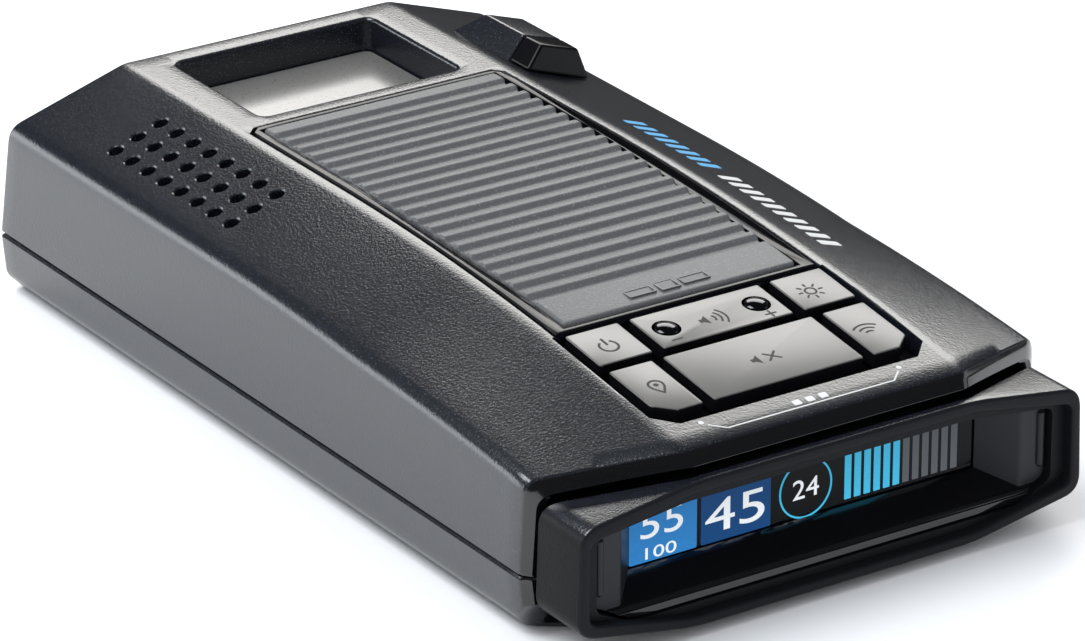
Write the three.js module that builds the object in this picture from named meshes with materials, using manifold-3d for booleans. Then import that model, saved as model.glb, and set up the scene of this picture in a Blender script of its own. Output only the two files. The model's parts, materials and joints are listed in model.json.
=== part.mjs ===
// Windscreen radar detector, built the way it comes apart on a bench.
// Millimetres, +Z up. +Y points to the front, which looks out through the windscreen. The display end
// faces -Y. The origin is the middle of the flat underside.

import * as THREE from 'three';
import { mergeVertices } from 'three/addons/utils/BufferGeometryUtils.js';
import { ConvexGeometry } from 'three/addons/geometries/ConvexGeometry.js';
import Module from 'manifold-3d';

const wasm = await Module();
wasm.setup();

// ---- driving dimensions ----------------------------------------------------------------------------

const HALF_WIDTH = 37.5;        // widest, at the parting line
const SHOULDER_X = 37.0;        // where the flank would meet the side without its rounding
const TOP_Z = 29.4;             // height of the plateau at the front
const PARTING_Z = 8.2;          // line between the two shells
const PARTING_GAP = 0.3;
const WALL = 2.3;
const FLOOR = 2.0;
const CREASE_X = 20.4;          // edge of the plateau
const FLANK_SLOPE = 0.345;      // fall of the flank per millimetre outwards, at the front
const REAR_FLANK_SLOPE = 0.24;  // the same at the display end
const FALL_START_Y = 12;        // the plateau is level in front of this line
const FALL_RADIUS = 452;        // and curves down behind it
const REAR_Y = -64.1;           // rear edge of the plateau
const REAR_SWEEP = 0.48;        // how the rear edge runs forward towards the sides
const RIM_STEP = 1.2;           // glossy bevel round the rear opening: its length,
const RIM_DROP = 1.8;           // its fall at the top
const RIM_SIDE = 1.1;           // its step inwards at the sides,
const RIM_RISE = 0.7;           // and its rise at the bottom
const REAR_TUCK = 3.6;          // how far the lower rear corners are cut forward
const TUCK_HEIGHT = 4.0;        // below this height
const BODY_END_Y = 70;          // the shells are drawn to here, then cut by the front face

// The front face leans back above and below the parting line. Pairs are y and z.
const FRONT_PROFILE = [[66.7, -1], [66.8, 1.6], [67, PARTING_Z], [65.1, 21.5], [63.5, TOP_Z], [63.1, 31]];
const FRONT_CORNER = 1.4;       // rounding of the front corners in plan

const POCKET = { halfWidth: 15.1, front: 59.4, rear: 37.1, depth: 4.5, corner: 1.5 };
const PAD = { halfWidthFront: 17.6, halfWidthRear: 17.0, front: 32.9, rear: -34.9, proud: 0.35 };
const RIB = { count: 20, pitch: 3.0, height: 0.55, start: 31.4 };
const TRIM = { halfWidth: 19.0, front: 34.2, rear: -36.0, chamfer: 1.4, gap: 0.3 };
const RECESS_DEPTH = 2.6;

const KEY_ORIGIN_Y = -47;       // centre of the key well, which is flat and tilted with the plateau
const KEY_TILT = Math.atan(0.1295);
const WELL = { halfWidth: 19.8, front: 10.7, rear: -12.4, chamfer: 2.6, depth: 3.6 };
const KEY_TRAVEL = 0.4;
const MAT_TOP = -7.15;          // tops of the rubber domes under the keys
const KEY_PROUD = 0.25;
const KEY_SKIRT = 2.0;
const ROW_ONE = { front: 9.8, rear: 2.2 };
const ROW_TWO = { front: 0.6, rear: -10.2 };

const BEZEL_FACE_Y = -67;
const HOOD = { corner: [36.1, 17.74], bend: [20.3, 20.1], lowBend: [20.4, 1.3], lowCorner: [36.5, 4.1] };
const MOUTH = { corner: [34.8, 15.95], bend: [20.5, 18.5], lowBend: [20.7, 2.65], lowCorner: [34.9, 5.5] };
const SCREEN = { halfWidth: 24.9, bottom: 7.7, y: -60.2 };

const SPEAKER = { x: -28.3, y: 31.65, pitchY: 4.06, pitchSlope: 3.52, rows: 3, perRow: 8, holeRadius: 1.0 };
const BOARD = { bottom: 7.6, thick: 1.6 };

const PLASTIC = { color: 0x26282b, roughness: 0.5, metalness: 0.0 };
const GLOSS = { color: 0x08090a, roughness: 0.12, metalness: 0.0 };
const MATTE_GREY = { color: 0x4b4e52, roughness: 0.75, metalness: 0.0 };
const KEY_GREY = { color: 0x3a3b3c, roughness: 0.35, metalness: 0.0 };
const METAL = { color: 0x9aa0a6, roughness: 0.35, metalness: 1.0 };
const STEEL = { color: 0x6f7479, roughness: 0.3, metalness: 1.0 };
const BOARD_GREEN = { color: 0x14502e, roughness: 0.45, metalness: 0.0 };
const SILICONE = { color: 0x8b8f93, roughness: 0.7, metalness: 0.0 };
const CERAMIC = { color: 0xcfc8b8, roughness: 0.6, metalness: 0.0 };
const LENS_RED = { color: 0x2a0a12, roughness: 0.08, metalness: 0.0 };

// ---- solids and booleans ---------------------------------------------------------------------------

function toSolid(geometry) {
  const bare = geometry.clone();
  bare.deleteAttribute('normal');
  bare.deleteAttribute('uv');
  const merged = mergeVertices(bare, 1e-4);
  return new wasm.Manifold(new wasm.Mesh({
    numProp: 3,
    vertProperties: new Float32Array(merged.attributes.position.array),
    triVerts: new Uint32Array(merged.index.array),
  }));
}

function toGeometry(solid) {
  const mesh = solid.getMesh();
  const geometry = new THREE.BufferGeometry();
  geometry.setAttribute('position', new THREE.BufferAttribute(new Float32Array(mesh.vertProperties), 3));
  geometry.setIndex(new THREE.BufferAttribute(new Uint32Array(mesh.triVerts), 1));
  geometry.computeVertexNormals();
  return geometry;
}

function add(...geometries) {
  return geometries.map(toSolid).reduce((sum, solid) => sum.add(solid));
}

function group(...parts) {
  return parts.reduce((sum, solid) => sum.add(solid));
}

// ---- shapes ----------------------------------------------------------------------------------------

function boxBetween(low, high) {
  const size = high.map((value, axis) => value - low[axis]);
  const box = new THREE.BoxGeometry(...size);
  return box.translate(...high.map((value, axis) => (value + low[axis]) / 2));
}

function cylinder(radius, low, high, x, y, segments = 20) {
  const round = new THREE.CylinderGeometry(radius, radius, high - low, segments);
  return round.rotateX(Math.PI / 2).translate(x, y, (low + high) / 2);
}

function shapeOf(points) {
  return new THREE.Shape(points.map(([x, y]) => new THREE.Vector2(x, y)));
}

function roundedRectangle(x0, y0, x1, y1, radius) {
  const shape = new THREE.Shape();
  shape.moveTo(x0 + radius, y0);
  shape.absarc(x1 - radius, y0 + radius, radius, -Math.PI / 2, 0);
  shape.absarc(x1 - radius, y1 - radius, radius, 0, Math.PI / 2);
  shape.absarc(x0 + radius, y1 - radius, radius, Math.PI / 2, Math.PI);
  shape.absarc(x0 + radius, y0 + radius, radius, Math.PI, 1.5 * Math.PI);
  return shape;
}

// A plan outline extruded upwards.
function upright(shape, low, high, curveSegments = 3) {
  const solid = new THREE.ExtrudeGeometry(shape, { depth: high - low, bevelEnabled: false, curveSegments });
  return solid.translate(0, 0, low);
}

// A cross-section, drawn in x and z, extruded from y0 to y1.
function alongY(shape, y0, y1, steps = 1, curveSegments = 4) {
  const depth = y1 - y0;
  const solid = new THREE.ExtrudeGeometry(shape, { depth, bevelEnabled: false, steps, curveSegments });
  return solid.rotateX(Math.PI / 2).translate(0, y1, 0);
}

// A side profile, drawn in y and z, extruded from x0 to x1.
function alongX(shape, x0, x1) {
  const solid = new THREE.ExtrudeGeometry(shape, { depth: x1 - x0, bevelEnabled: false, curveSegments: 4 });
  return solid.rotateX(Math.PI / 2).rotateZ(Math.PI / 2).translate(x0, 0, 0);
}

function hull(points) {
  return new ConvexGeometry(points.map((point) => new THREE.Vector3(...point)));
}

// ---- the outer form --------------------------------------------------------------------------------

// How far the top surface lies below its height at the front, at any place.
function drop(x, y) {
  const fall = Math.max(0, FALL_START_Y - y) ** 2 / (2 * FALL_RADIUS);
  const share = THREE.MathUtils.clamp((-20 - y) / 37, 0, 1.2);
  const flank = share * (FLANK_SLOPE - REAR_FLANK_SLOPE) * Math.max(Math.abs(x) - CREASE_X, 0);
  return fall - flank;
}

function topHeight(x, y) {
  return TOP_Z - FLANK_SLOPE * Math.max(Math.abs(x) - CREASE_X, 0) - drop(x, y);
}

function rearEdge(x) {
  return REAR_Y + REAR_SWEEP * Math.max(Math.abs(x) - CREASE_X, 0);
}

// Half of the cross-section at the front, from the parting line up to the plateau.
function upperSection(inset, low = PARTING_Z + PARTING_GAP / 2) {
  const side = HALF_WIDTH - inset;
  const shoulder = SHOULDER_X - inset;
  const flank = (x) => TOP_Z - 1.058 * inset - FLANK_SLOPE * (x - CREASE_X);
  const crease = CREASE_X - 0.167 * inset;
  const section = new THREE.Shape();
  section.moveTo(-side, low);
  section.lineTo(side, low);
  section.lineTo(shoulder + 0.07, flank(shoulder) - 1.9);
  section.quadraticCurveTo(shoulder, flank(shoulder), shoulder - 1.8, flank(shoulder - 1.8));
  section.lineTo(crease + 0.8, flank(crease + 0.8));
  section.quadraticCurveTo(crease, TOP_Z - inset, crease - 0.8, TOP_Z - inset);
  section.lineTo(-crease + 0.8, TOP_Z - inset);
  section.quadraticCurveTo(-crease, TOP_Z - inset, -crease - 0.8, flank(crease + 0.8));
  section.lineTo(-shoulder + 1.8, flank(shoulder - 1.8));
  section.quadraticCurveTo(-shoulder, flank(shoulder), -shoulder - 0.07, flank(shoulder) - 1.9);
  section.closePath();
  return section;
}

function lowerSection(inset, floor, high = PARTING_Z - PARTING_GAP / 2) {
  const side = HALF_WIDTH - inset;
  const chamfer = 2.3;
  return shapeOf([
    [-side, high], [-side + 0.5, floor + chamfer], [-side + 0.5 + chamfer, floor],
    [-CREASE_X, floor], [CREASE_X, floor],
    [side - 0.5 - chamfer, floor], [side - 0.5, floor + chamfer], [side, high],
    [CREASE_X, high], [-CREASE_X, high],
  ]);
}

// Extrudes a section from the swept rear edge to the front. The first rings form the bevelled rim.
function bodyForm(section, rim, curveSegments) {
  const rings = [-12, -RIM_STEP, 0];
  const stations = 13;
  const steps = rings.length - 1 + stations;
  const geometry = alongY(section, 0, 1, steps, curveSegments);
  const position = geometry.attributes.position;
  const shoulderLow = TOP_Z - FLANK_SLOPE * (SHOULDER_X - CREASE_X) - 1.9;
  for (let i = 0; i < position.count; i += 1) {
    const ring = Math.round(position.getY(i) * steps);
    const x = position.getX(i);
    const z = position.getZ(i);
    const onRim = rim && ring < 2;
    const tuck = THREE.MathUtils.clamp(1 - z / TUCK_HEIGHT, 0, 1)
      * THREE.MathUtils.clamp((Math.abs(x) - CREASE_X) / 14, 0, 1);
    const start = rearEdge(x) + (rim ? REAR_TUCK * tuck : 0);
    const y = ring < rings.length
      ? start + rings[ring]
      : start + (BODY_END_Y - start) * (ring - rings.length + 1) / stations;
    const rise = THREE.MathUtils.clamp((z - PARTING_Z) / (shoulderLow - PARTING_Z), 0, 1);
    const sink = THREE.MathUtils.clamp((PARTING_Z - z) / (PARTING_Z - 2.3), 0, 1);
    position.setX(i, onRim ? x * (1 - RIM_SIDE / HALF_WIDTH) : x);
    position.setY(i, y);
    position.setZ(i, z - rise * (drop(x, y) + (onRim ? RIM_DROP : 0)) + (onRim ? sink * RIM_RISE : 0));
  }
  return geometry;
}

// Everything the shells may fill: the plan outline, with rounded front corners, and the front face.
function envelope(inset) {
  const plan = new THREE.Shape();
  const radius = FRONT_CORNER - Math.min(inset, 0.8);
  const side = HALF_WIDTH + 1 - inset;
  const front = BODY_END_Y - 3 - inset;
  const rim = inset > 0 ? 2.5 : RIM_STEP;
  plan.moveTo(-CREASE_X, REAR_Y - rim);
  plan.lineTo(CREASE_X, REAR_Y - rim);
  plan.lineTo(side + 2, rearEdge(side + 2) - rim);
  plan.lineTo(side + 2, 0);
  plan.lineTo(side - 0.9, 0);
  plan.lineTo(side - 0.9, front - radius);
  plan.quadraticCurveTo(side - 0.9, front, side - 0.9 - radius, front + 0.1);
  plan.lineTo(-side + 0.9 + radius, front + 0.1);
  plan.quadraticCurveTo(-side + 0.9, front, -side + 0.9, front - radius);
  plan.lineTo(-side + 0.9, 0);
  plan.lineTo(-side - 2, 0);
  plan.lineTo(-side - 2, rearEdge(side + 2) - rim);
  plan.closePath();
  const profile = FRONT_PROFILE.map(([y, z]) => [y - inset, z]);
  const face = alongX(shapeOf([[-80, -1], ...profile, [-80, 31]]), -50, 50);
  return toSolid(upright(plan, -5, 40, 4)).intersect(toSolid(face));
}

// ---- local frames ----------------------------------------------------------------------------------

const keyFrame = new THREE.Matrix4()
  .makeRotationX(KEY_TILT)
  .setPosition(0, KEY_ORIGIN_Y, topHeight(0, KEY_ORIGIN_Y));

const speakerFrame = new THREE.Matrix4()
  .makeRotationY(-Math.atan(FLANK_SLOPE))
  .setPosition(SPEAKER.x, SPEAKER.y, topHeight(SPEAKER.x, SPEAKER.y));

const inKeyFrame = (geometry) => geometry.applyMatrix4(keyFrame);
const inSpeakerFrame = (geometry) => geometry.applyMatrix4(speakerFrame);

// ---- outlines that several parts share -------------------------------------------------------------

function trimOutline(grow) {
  const side = TRIM.halfWidth + grow;
  const front = TRIM.front + grow;
  const rear = TRIM.rear - grow;
  return [
    [-side, rear], [side, rear], [side, front - TRIM.chamfer], [side - TRIM.chamfer, front],
    [-side + TRIM.chamfer, front], [-side, front - TRIM.chamfer],
  ];
}

function padOutline(grow) {
  const front = PAD.halfWidthFront + grow;
  const rear = PAD.halfWidthRear + grow;
  return [
    [-rear, PAD.rear - grow], [rear, PAD.rear - grow],
    [front, PAD.front + grow], [-front, PAD.front + grow],
  ];
}

function wellOutline(grow) {
  const side = WELL.halfWidth + grow;
  const rear = WELL.rear - grow;
  return [
    [-side, WELL.front + grow], [-side, rear + WELL.chamfer], [-side + WELL.chamfer, rear],
    [side - WELL.chamfer, rear], [side, rear + WELL.chamfer], [side, WELL.front + grow],
  ];
}

// A layer that follows the falling plateau, cut to an outline. Heights are those at the level front.
function plateauLayer(outline, low, high) {
  const stations = Array.from({ length: 11 }, (_, k) => (k === 0 ? 45 : FALL_START_Y - 6 * (k - 1)));
  const upper = stations.map((y) => [y, high - drop(0, y)]);
  const lower = stations.map((y) => [y, low - drop(0, y)]).reverse();
  const layer = toSolid(alongX(shapeOf([...upper, ...lower]), -30, 30));
  return layer.intersect(toSolid(upright(shapeOf(outline), 0, 50)));
}

// The six keys: outline, and where their stems stand, all in the key frame.
const outerKeyOne = (side) => shapeOf([
  [11.1 * side, ROW_ONE.rear], [18.6 * side, ROW_ONE.rear],
  [18.6 * side, ROW_ONE.front], [11.1 * side, ROW_ONE.front],
]);

const outerKeyTwo = (side) => shapeOf([
  [12.4 * side, ROW_TWO.rear], [16.1 * side, ROW_TWO.rear], [18.5 * side, ROW_TWO.rear + 2.1],
  [18.5 * side, ROW_TWO.front], [12.4 * side, ROW_TWO.front],
]);

const middleKey = (halfWidth, row) => roundedRectangle(-halfWidth, row.rear, halfWidth, row.front, 0.4);

const KEYS = [
  { name: 'power_key', shape: outerKeyOne(-1), stems: [[-14.85, 6]] },
  { name: 'brightness_key', shape: outerKeyOne(1), stems: [[14.85, 6]] },
  { name: 'volume_rocker', shape: middleKey(9.4, ROW_ONE), stems: [[-6, 6], [6, 6]] },
  { name: 'mark_key', shape: outerKeyTwo(-1), stems: [[-15.4, -4.2]] },
  { name: 'sensitivity_key', shape: outerKeyTwo(1), stems: [[15.4, -4.2]] },
  { name: 'mute_key', shape: middleKey(10.8, ROW_TWO), stems: [[0, -4.8]] },
];

const STEM = { halfX: 1.6, halfY: 1.2, clearance: 0.6, bottom: MAT_TOP + KEY_TRAVEL + 0.15 };
const DOME = { x: 6.55, y: 6, radius: 1.5 };
const CASE_SCREWS = [
  ['front_left', -30, 50], ['front_right', 30, 50],
  ['rear_left', -30, -40], ['rear_right', 30, -40],
];
const BEZEL_SCREWS = [['left', -29.5, -53.4], ['right', 29.5, -53.4]];
const BOARD_SCREWS = [['left', -29.5, 6], ['right', 29.5, 6]];

const WINDOW = { halfWidth: 27, low: 5.6, high: 20.6 };
const JACKS = {
  power: { y0: 12.2, y1: 24.4, z0: 9.6, z1: 18.6 },
  usb: { y0: -3.9, y1: 3.9, z0: 9.7, z1: 12.5 },
  earphone: { y: -16, z: 13, radius: 3.0 },
};

const stemBox = ([x, y], grow, low, high) => boxBetween(
  [x - STEM.halfX - grow, y - STEM.halfY - grow, low],
  [x + STEM.halfX + grow, y + STEM.halfY + grow, high],
);

function windowOpening(grow) {
  return toSolid(boxBetween(
    [-WINDOW.halfWidth - grow, 55, WINDOW.low - grow],
    [WINDOW.halfWidth + grow, 75, WINDOW.high + grow],
  ));
}

function jackOpenings() {
  const { power, usb, earphone } = JACKS;
  const gap = 0.35;
  const round = cylinder(earphone.radius + gap, 30, 42, 0, 0, 20).rotateY(Math.PI / 2);
  return group(
    toSolid(boxBetween([33, power.y0 - gap, power.z0 - gap], [42, power.y1 + gap, power.z1 + gap])),
    toSolid(boxBetween([33, usb.y0 - gap, usb.z0 - gap], [42, usb.y1 + gap, usb.z1 + gap])),
    toSolid(round.translate(0, earphone.y, earphone.z)),
  );
}

// The rear laser port stands on the right flank: a block with sloping sides, from y0 back to y1.
function laserBlock(y0, y1, slantRear, slantFront, foot) {
  const section = [[22.2, -foot], [25.4, 3.95], [31.2, 4.1], [33.0, -foot]];
  const surface = (x) => topHeight(x, 30);
  return hull(section.flatMap(([x, rise]) => {
    const share = Math.max(rise, 0) / 4;
    const z = surface(x) + rise;
    return [[x, y0 + slantRear * share, z], [x, y1 - slantFront * share, z]];
  }));
}

// ---- the shells ------------------------------------------------------------------------------------

function makeTopShell() {
  const outer = toSolid(bodyForm(upperSection(0), true)).intersect(envelope(0));
  const cavity = toSolid(bodyForm(upperSection(WALL, PARTING_Z - 1), false)).intersect(envelope(WALL));
  const padPan = plateauLayer(trimOutline(1.6), TOP_Z - RECESS_DEPTH - 1.5, TOP_Z - 1.4);
  const keyPan = inKeyFrame(upright(shapeOf(wellOutline(1.3)), -5.2, -1.6));
  const pocketPan = boxBetween([-16.9, 35, 22.7], [16.9, 61.3, 28]);
  const bossFoot = BOARD.bottom + BOARD.thick + 0.1;
  const bosses = CASE_SCREWS.map(([, x, y]) => cylinder(3.0, bossFoot, topHeight(x, y) - 1.2, x, y, 16));
  const filled = outer.subtract(cavity)
    .add(group(padPan, ...[keyPan, pocketPan, ...bosses].map(toSolid)).intersect(outer))
    .add(toSolid(laserBlock(37.8, 52.3, 0, 5.4, 1.2)));
  const recess = plateauLayer(trimOutline(0.3), TOP_Z - RECESS_DEPTH, TOP_Z + 4);
  const well = inKeyFrame(upright(shapeOf(wellOutline(0)), -WELL.depth, 4));
  const pocket = upright(
    roundedRectangle(-POCKET.halfWidth, POCKET.rear, POCKET.halfWidth, POCKET.front, POCKET.corner),
    TOP_Z - POCKET.depth - 0.6, TOP_Z + 4,
  );
  const stems = KEYS.flatMap((key) => key.stems).map((at) => inKeyFrame(stemBox(at, STEM.clearance, -7, 0)));
  const pilots = CASE_SCREWS.map(([, x, y]) => cylinder(1.5, PARTING_Z - 1, 17, x, y, 12));
  const holes = [];
  for (let row = 0; row < SPEAKER.rows; row += 1) {
    for (let k = 0; k < SPEAKER.perRow; k += 1) {
      const across = (row - (SPEAKER.rows - 1) / 2) * SPEAKER.pitchSlope;
      const along = (k - (SPEAKER.perRow - 1) / 2) * SPEAKER.pitchY;
      holes.push(inSpeakerFrame(cylinder(SPEAKER.holeRadius, -4, 2, across, along, 10)));
    }
  }
  const sensorRoom = boxBetween([25.4, 34.6, 20], [31, 45.5, 28.4]);
  const cut = [well, pocket, ...stems, ...pilots, ...holes, sensorRoom].map(toSolid);
  return filled.subtract(group(recess, ...cut)).subtract(windowOpening(0)).subtract(jackOpenings());
}

function makeBottomShell() {
  const outer = toSolid(bodyForm(lowerSection(0, 0), true)).intersect(envelope(0));
  const hollow = bodyForm(lowerSection(WALL, FLOOR, PARTING_Z + 1), false);
  const cavity = toSolid(hollow).intersect(envelope(WALL));
  const bosses = CASE_SCREWS.map(([, x, y]) => cylinder(3.4, 1, BOARD.bottom - 0.1, x, y, 16));
  const boardBosses = BOARD_SCREWS.map(([, x, y]) => cylinder(2.6, 1, BOARD.bottom - 0.1, x, y, 14));
  const solid = outer.subtract(cavity).add(group(...[...bosses, ...boardBosses].map(toSolid)));
  const heads = CASE_SCREWS.map(([, x, y]) => cylinder(3.0, -1, 2.6, x, y, 16));
  const shanks = CASE_SCREWS.map(([, x, y]) => cylinder(1.5, -1, 9, x, y, 12));
  const bezelHeads = BEZEL_SCREWS.map(([, x, y]) => cylinder(2.3, -1, 1.2, x, y, 16));
  const bezelShanks = BEZEL_SCREWS.map(([, x, y]) => cylinder(1.3, -1, 4, x, y, 12));
  const pilots = BOARD_SCREWS.map(([, x, y]) => cylinder(1.2, 3.2, 9, x, y, 12));
  const plate = upright(roundedRectangle(-22, -30, 22, 26, 2), -1, 0.35);
  const cut = [...heads, ...shanks, ...bezelHeads, ...bezelShanks, ...pilots, plate].map(toSolid);
  return solid.subtract(group(...cut)).subtract(windowOpening(0)).subtract(jackOpenings());
}

function makeFrontWindow() {
  const slab = (from, to) => {
    const outer = FRONT_PROFILE.map(([y, z]) => [y - from, z]);
    const inner = FRONT_PROFILE.map(([y, z]) => [y - to, z]).reverse();
    return toSolid(alongX(shapeOf([...outer, ...inner]), -50, 50));
  };
  const pane = slab(0.6, 2.6).intersect(windowOpening(-0.3));
  const flange = slab(2.6, 3.8).intersect(windowOpening(1.4));
  return pane.add(flange);
}

// ---- the display end -------------------------------------------------------------------------------

function hoodShape({ corner, bend, lowBend, lowCorner }, grow = 0) {
  const half = [
    [lowBend[0], lowBend[1] - grow], [lowCorner[0] + grow, lowCorner[1] - grow],
    [corner[0] + grow, corner[1] + grow], [bend[0], bend[1] + grow],
  ];
  return [...half, ...half.map(([x, z]) => [-x, z]).reverse()];
}

// Rounds the corners of a closed outline.
function softened(points, radius) {
  const shape = new THREE.Shape();
  points.forEach(([x, z], index) => {
    const before = points[(index + points.length - 1) % points.length];
    const after = points[(index + 1) % points.length];
    const corner = new THREE.Vector2(x, z);
    const reach = (other) => {
      const way = new THREE.Vector2(...other).sub(corner);
      return corner.clone().addScaledVector(way, Math.min(radius, way.length() * 0.4) / way.length());
    };
    const start = reach(before);
    const end = reach(after);
    if (index === 0) {
      shape.moveTo(start.x, start.y);
    } else {
      shape.lineTo(start.x, start.y);
    }
    shape.quadraticCurveTo(x, z, end.x, end.y);
  });
  shape.closePath();
  return shape;
}

const NECK = { corner: [34.2, 16.6], bend: [20.3, 18.2], lowBend: [28, 2.4], lowCorner: [34.2, 5.6] };
const TUNNEL = { corner: [33.0, 15.4], bend: [20.3, 17.0], lowBend: [28, 3.7], lowCorner: [33.0, 6.0] };
const HOOD_BACK_Y = -57.6;
const HOOD_GAP = 0.35;

function behindRim(gap) {
  const edge = (x) => rearEdge(x) - RIM_STEP - gap;
  return toSolid(upright(shapeOf([
    [-CREASE_X, edge(0)], [-60, edge(60)], [-60, -90], [60, -90], [60, edge(60)], [CREASE_X, edge(0)],
  ]), -10, 50));
}

function makeBezel() {
  const hood = toSolid(alongY(softened(hoodShape(HOOD), 2.4), BEZEL_FACE_Y, -55))
    .intersect(behindRim(HOOD_GAP));
  const neck = toSolid(alongY(softened(hoodShape(NECK), 1.6), -66, HOOD_BACK_Y));
  const lugs = BEZEL_SCREWS.map(([, x, y]) => boxBetween([x - 3, -58.2, 2.4], [x + 3, y + 3, 7.6]));
  const mouth = toSolid(alongY(softened(hoodShape(MOUTH), 1.2), BEZEL_FACE_Y - 1, -65.4));
  const tunnel = toSolid(alongY(softened(hoodShape(TUNNEL), 1.0), -65.6, HOOD_BACK_Y + 0.5));
  const pilots = BEZEL_SCREWS.map(([, x, y]) => cylinder(1.2, 0, 6.4, x, y, 12));
  return hood.add(neck).subtract(mouth).subtract(tunnel)
    .add(group(...lugs.map(toSolid)).subtract(tunnel))
    .subtract(group(...pilots.map(toSolid)));
}

function makeHoodLiner() {
  const inside = toSolid(alongY(softened(hoodShape(TUNNEL, -0.3), 0.8), -65.3, SCREEN.y - 0.15));
  const ramp = alongX(shapeOf([[-66, 3], [-66, 5.0], [SCREEN.y, SCREEN.bottom], [SCREEN.y, 3]]), -34, 34);
  const cheek = (side) => upright(shapeOf([
    [25.0 * side, SCREEN.y], [29.0 * side, -64.4], [35 * side, -64.4], [35 * side, SCREEN.y],
  ]), 4, 20);
  return add(ramp, cheek(-1), cheek(1)).intersect(inside);
}

function makeDisplayWindow() {
  return toSolid(alongY(softened(hoodShape(TUNNEL, -0.3), 0.8), SCREEN.y + 0.1, SCREEN.y + 0.9));
}

function ribbon(points, thick, x0, x1) {
  const back = points.map(([y, z]) => [y, z + thick]).reverse();
  return toSolid(alongX(shapeOf([...points, ...back]), x0, x1));
}

// ---- the satellite receiver and its cover ----------------------------------------------------------

function makePad() {
  const top = TOP_Z + PAD.proud;
  const crest = (y, rise) => [y, top + rise - drop(0, y)];
  const profile = [crest(PAD.front, -0.3), crest(RIB.start + 0.5, -0.05)];
  for (let k = 0; k < RIB.count; k += 1) {
    const start = RIB.start - k * RIB.pitch;
    profile.push(crest(start, 0), crest(start - 0.9, 0), crest(start - 1.6, -RIB.height));
    profile.push(crest(start - 2.5, -RIB.height * 0.8));
  }
  profile.push(crest(RIB.start - RIB.count * RIB.pitch, 0));
  profile.push(crest(PAD.rear + 0.4, -0.1), crest(PAD.rear, -0.5));
  const seat = TOP_Z - RECESS_DEPTH + 0.3;
  const base = [PAD.rear, -25, -12, 0, 12, PAD.front].map((y) => [y, seat - drop(0, y)]);
  const block = toSolid(alongX(shapeOf([...profile, ...base]), -30, 30));
  return block.intersect(toSolid(upright(softened(padOutline(0), 0.8), 10, 40)));
}

function makeTrim() {
  const plate = plateauLayer(trimOutline(0), TOP_Z - RECESS_DEPTH + 0.3, TOP_Z + 0.1);
  return plate.subtract(toSolid(upright(shapeOf(padOutline(TRIM.gap)), 0, 50)));
}

// ---- the keys --------------------------------------------------------------------------------------

function makeKey({ shape, stems }) {
  const cap = upright(shape, KEY_PROUD - KEY_SKIRT, KEY_PROUD, 2);
  return add(cap, ...stems.map((at) => stemBox(at, 0, STEM.bottom, KEY_PROUD - KEY_SKIRT + 0.2)));
}

function makeVolumeRocker(key) {
  const seat = (side) => cylinder(DOME.radius + 0.3, KEY_PROUD - 0.8, 3, DOME.x * side, DOME.y, 20);
  return makeKey(key).subtract(add(seat(-1), seat(1)));
}

function makeDome(side) {
  const profile = [[0, -0.5], [DOME.radius, -0.5], [DOME.radius, -0.15]];
  for (let k = 1; k <= 4; k += 1) {
    const angle = (k / 4) * (Math.PI / 2);
    profile.push([DOME.radius * Math.cos(angle), -0.15 + 0.55 * Math.sin(angle)]);
  }
  profile[profile.length - 1][0] = 0;
  const lathe = new THREE.LatheGeometry(profile.map(([r, z]) => new THREE.Vector2(r, z)), 20);
  return toSolid(lathe.rotateX(Math.PI / 2).translate(DOME.x * side, DOME.y, KEY_PROUD));
}

function makeKeyFrame() {
  const plate = upright(shapeOf(wellOutline(-0.3)), -WELL.depth + 0.1, -2.6);
  const fulcrum = boxBetween([-0.5, 3.5, -2.9], [0.5, 8.5, -1.95]);
  const holes = KEYS.flatMap((key) => key.stems).map((at) => stemBox(at, STEM.clearance, -5, 0));
  return add(plate, fulcrum).subtract(add(...holes));
}

function makeKeyMat() {
  const sheet = boxBetween([-18.4, -8.8, -8.4], [18.4, 9.2, -7.7]);
  const domes = KEYS.flatMap((key) => key.stems).map(([x, y]) => cylinder(2.2, -8, MAT_TOP, x, y, 12));
  return add(sheet, ...domes);
}

// ---- boards and electronics ------------------------------------------------------------------------

function makeMainBoard() {
  const plate = boxBetween([-32.6, -48, BOARD.bottom], [32.6, 56, BOARD.bottom + BOARD.thick]);
  const notches = CASE_SCREWS.map(([, x, y]) => cylinder(1.9, 0, 20, x, y, 12));
  const holes = BOARD_SCREWS.map(([, x, y]) => cylinder(1.3, 0, 20, x, y, 12));
  return toSolid(plate).subtract(add(...notches, ...holes));
}

// A pressed can, open underneath.
function makeCan(low, high, wall) {
  const inner = boxBetween(
    [low[0] + wall, low[1] + wall, low[2] - 1],
    [high[0] - wall, high[1] - wall, high[2] - wall],
  );
  return toSolid(boxBetween(low, high)).subtract(toSolid(inner));
}

function makeHorn() {
  const frustum = (inset, front, back) => {
    const ends = [[front, 17 - inset, 5.2 - inset], [back, 8 - inset, 4.2 - inset]];
    return toSolid(hull(ends.flatMap(([y, halfX, halfZ]) => [
      [-halfX, y, 15 - halfZ], [halfX, y, 15 - halfZ], [-halfX, y, 15 + halfZ], [halfX, y, 15 + halfZ],
    ])));
  };
  return frustum(0, 60.5, 26).subtract(frustum(1.2, 60.8, 28));
}

function makeLens(x) {
  const profile = [[0, 0], [3.6, 0], [3.6, 1.6]];
  for (let k = 1; k <= 4; k += 1) {
    const angle = (k / 4) * (Math.PI / 2);
    profile.push([3.6 * Math.cos(angle), 1.6 + 1.1 * Math.sin(angle)]);
  }
  profile[profile.length - 1][0] = 0;
  const lathe = new THREE.LatheGeometry(profile.map(([r, y]) => new THREE.Vector2(r, y)), 18);
  return toSolid(lathe.translate(x, 58.8, 14.5));
}

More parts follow.
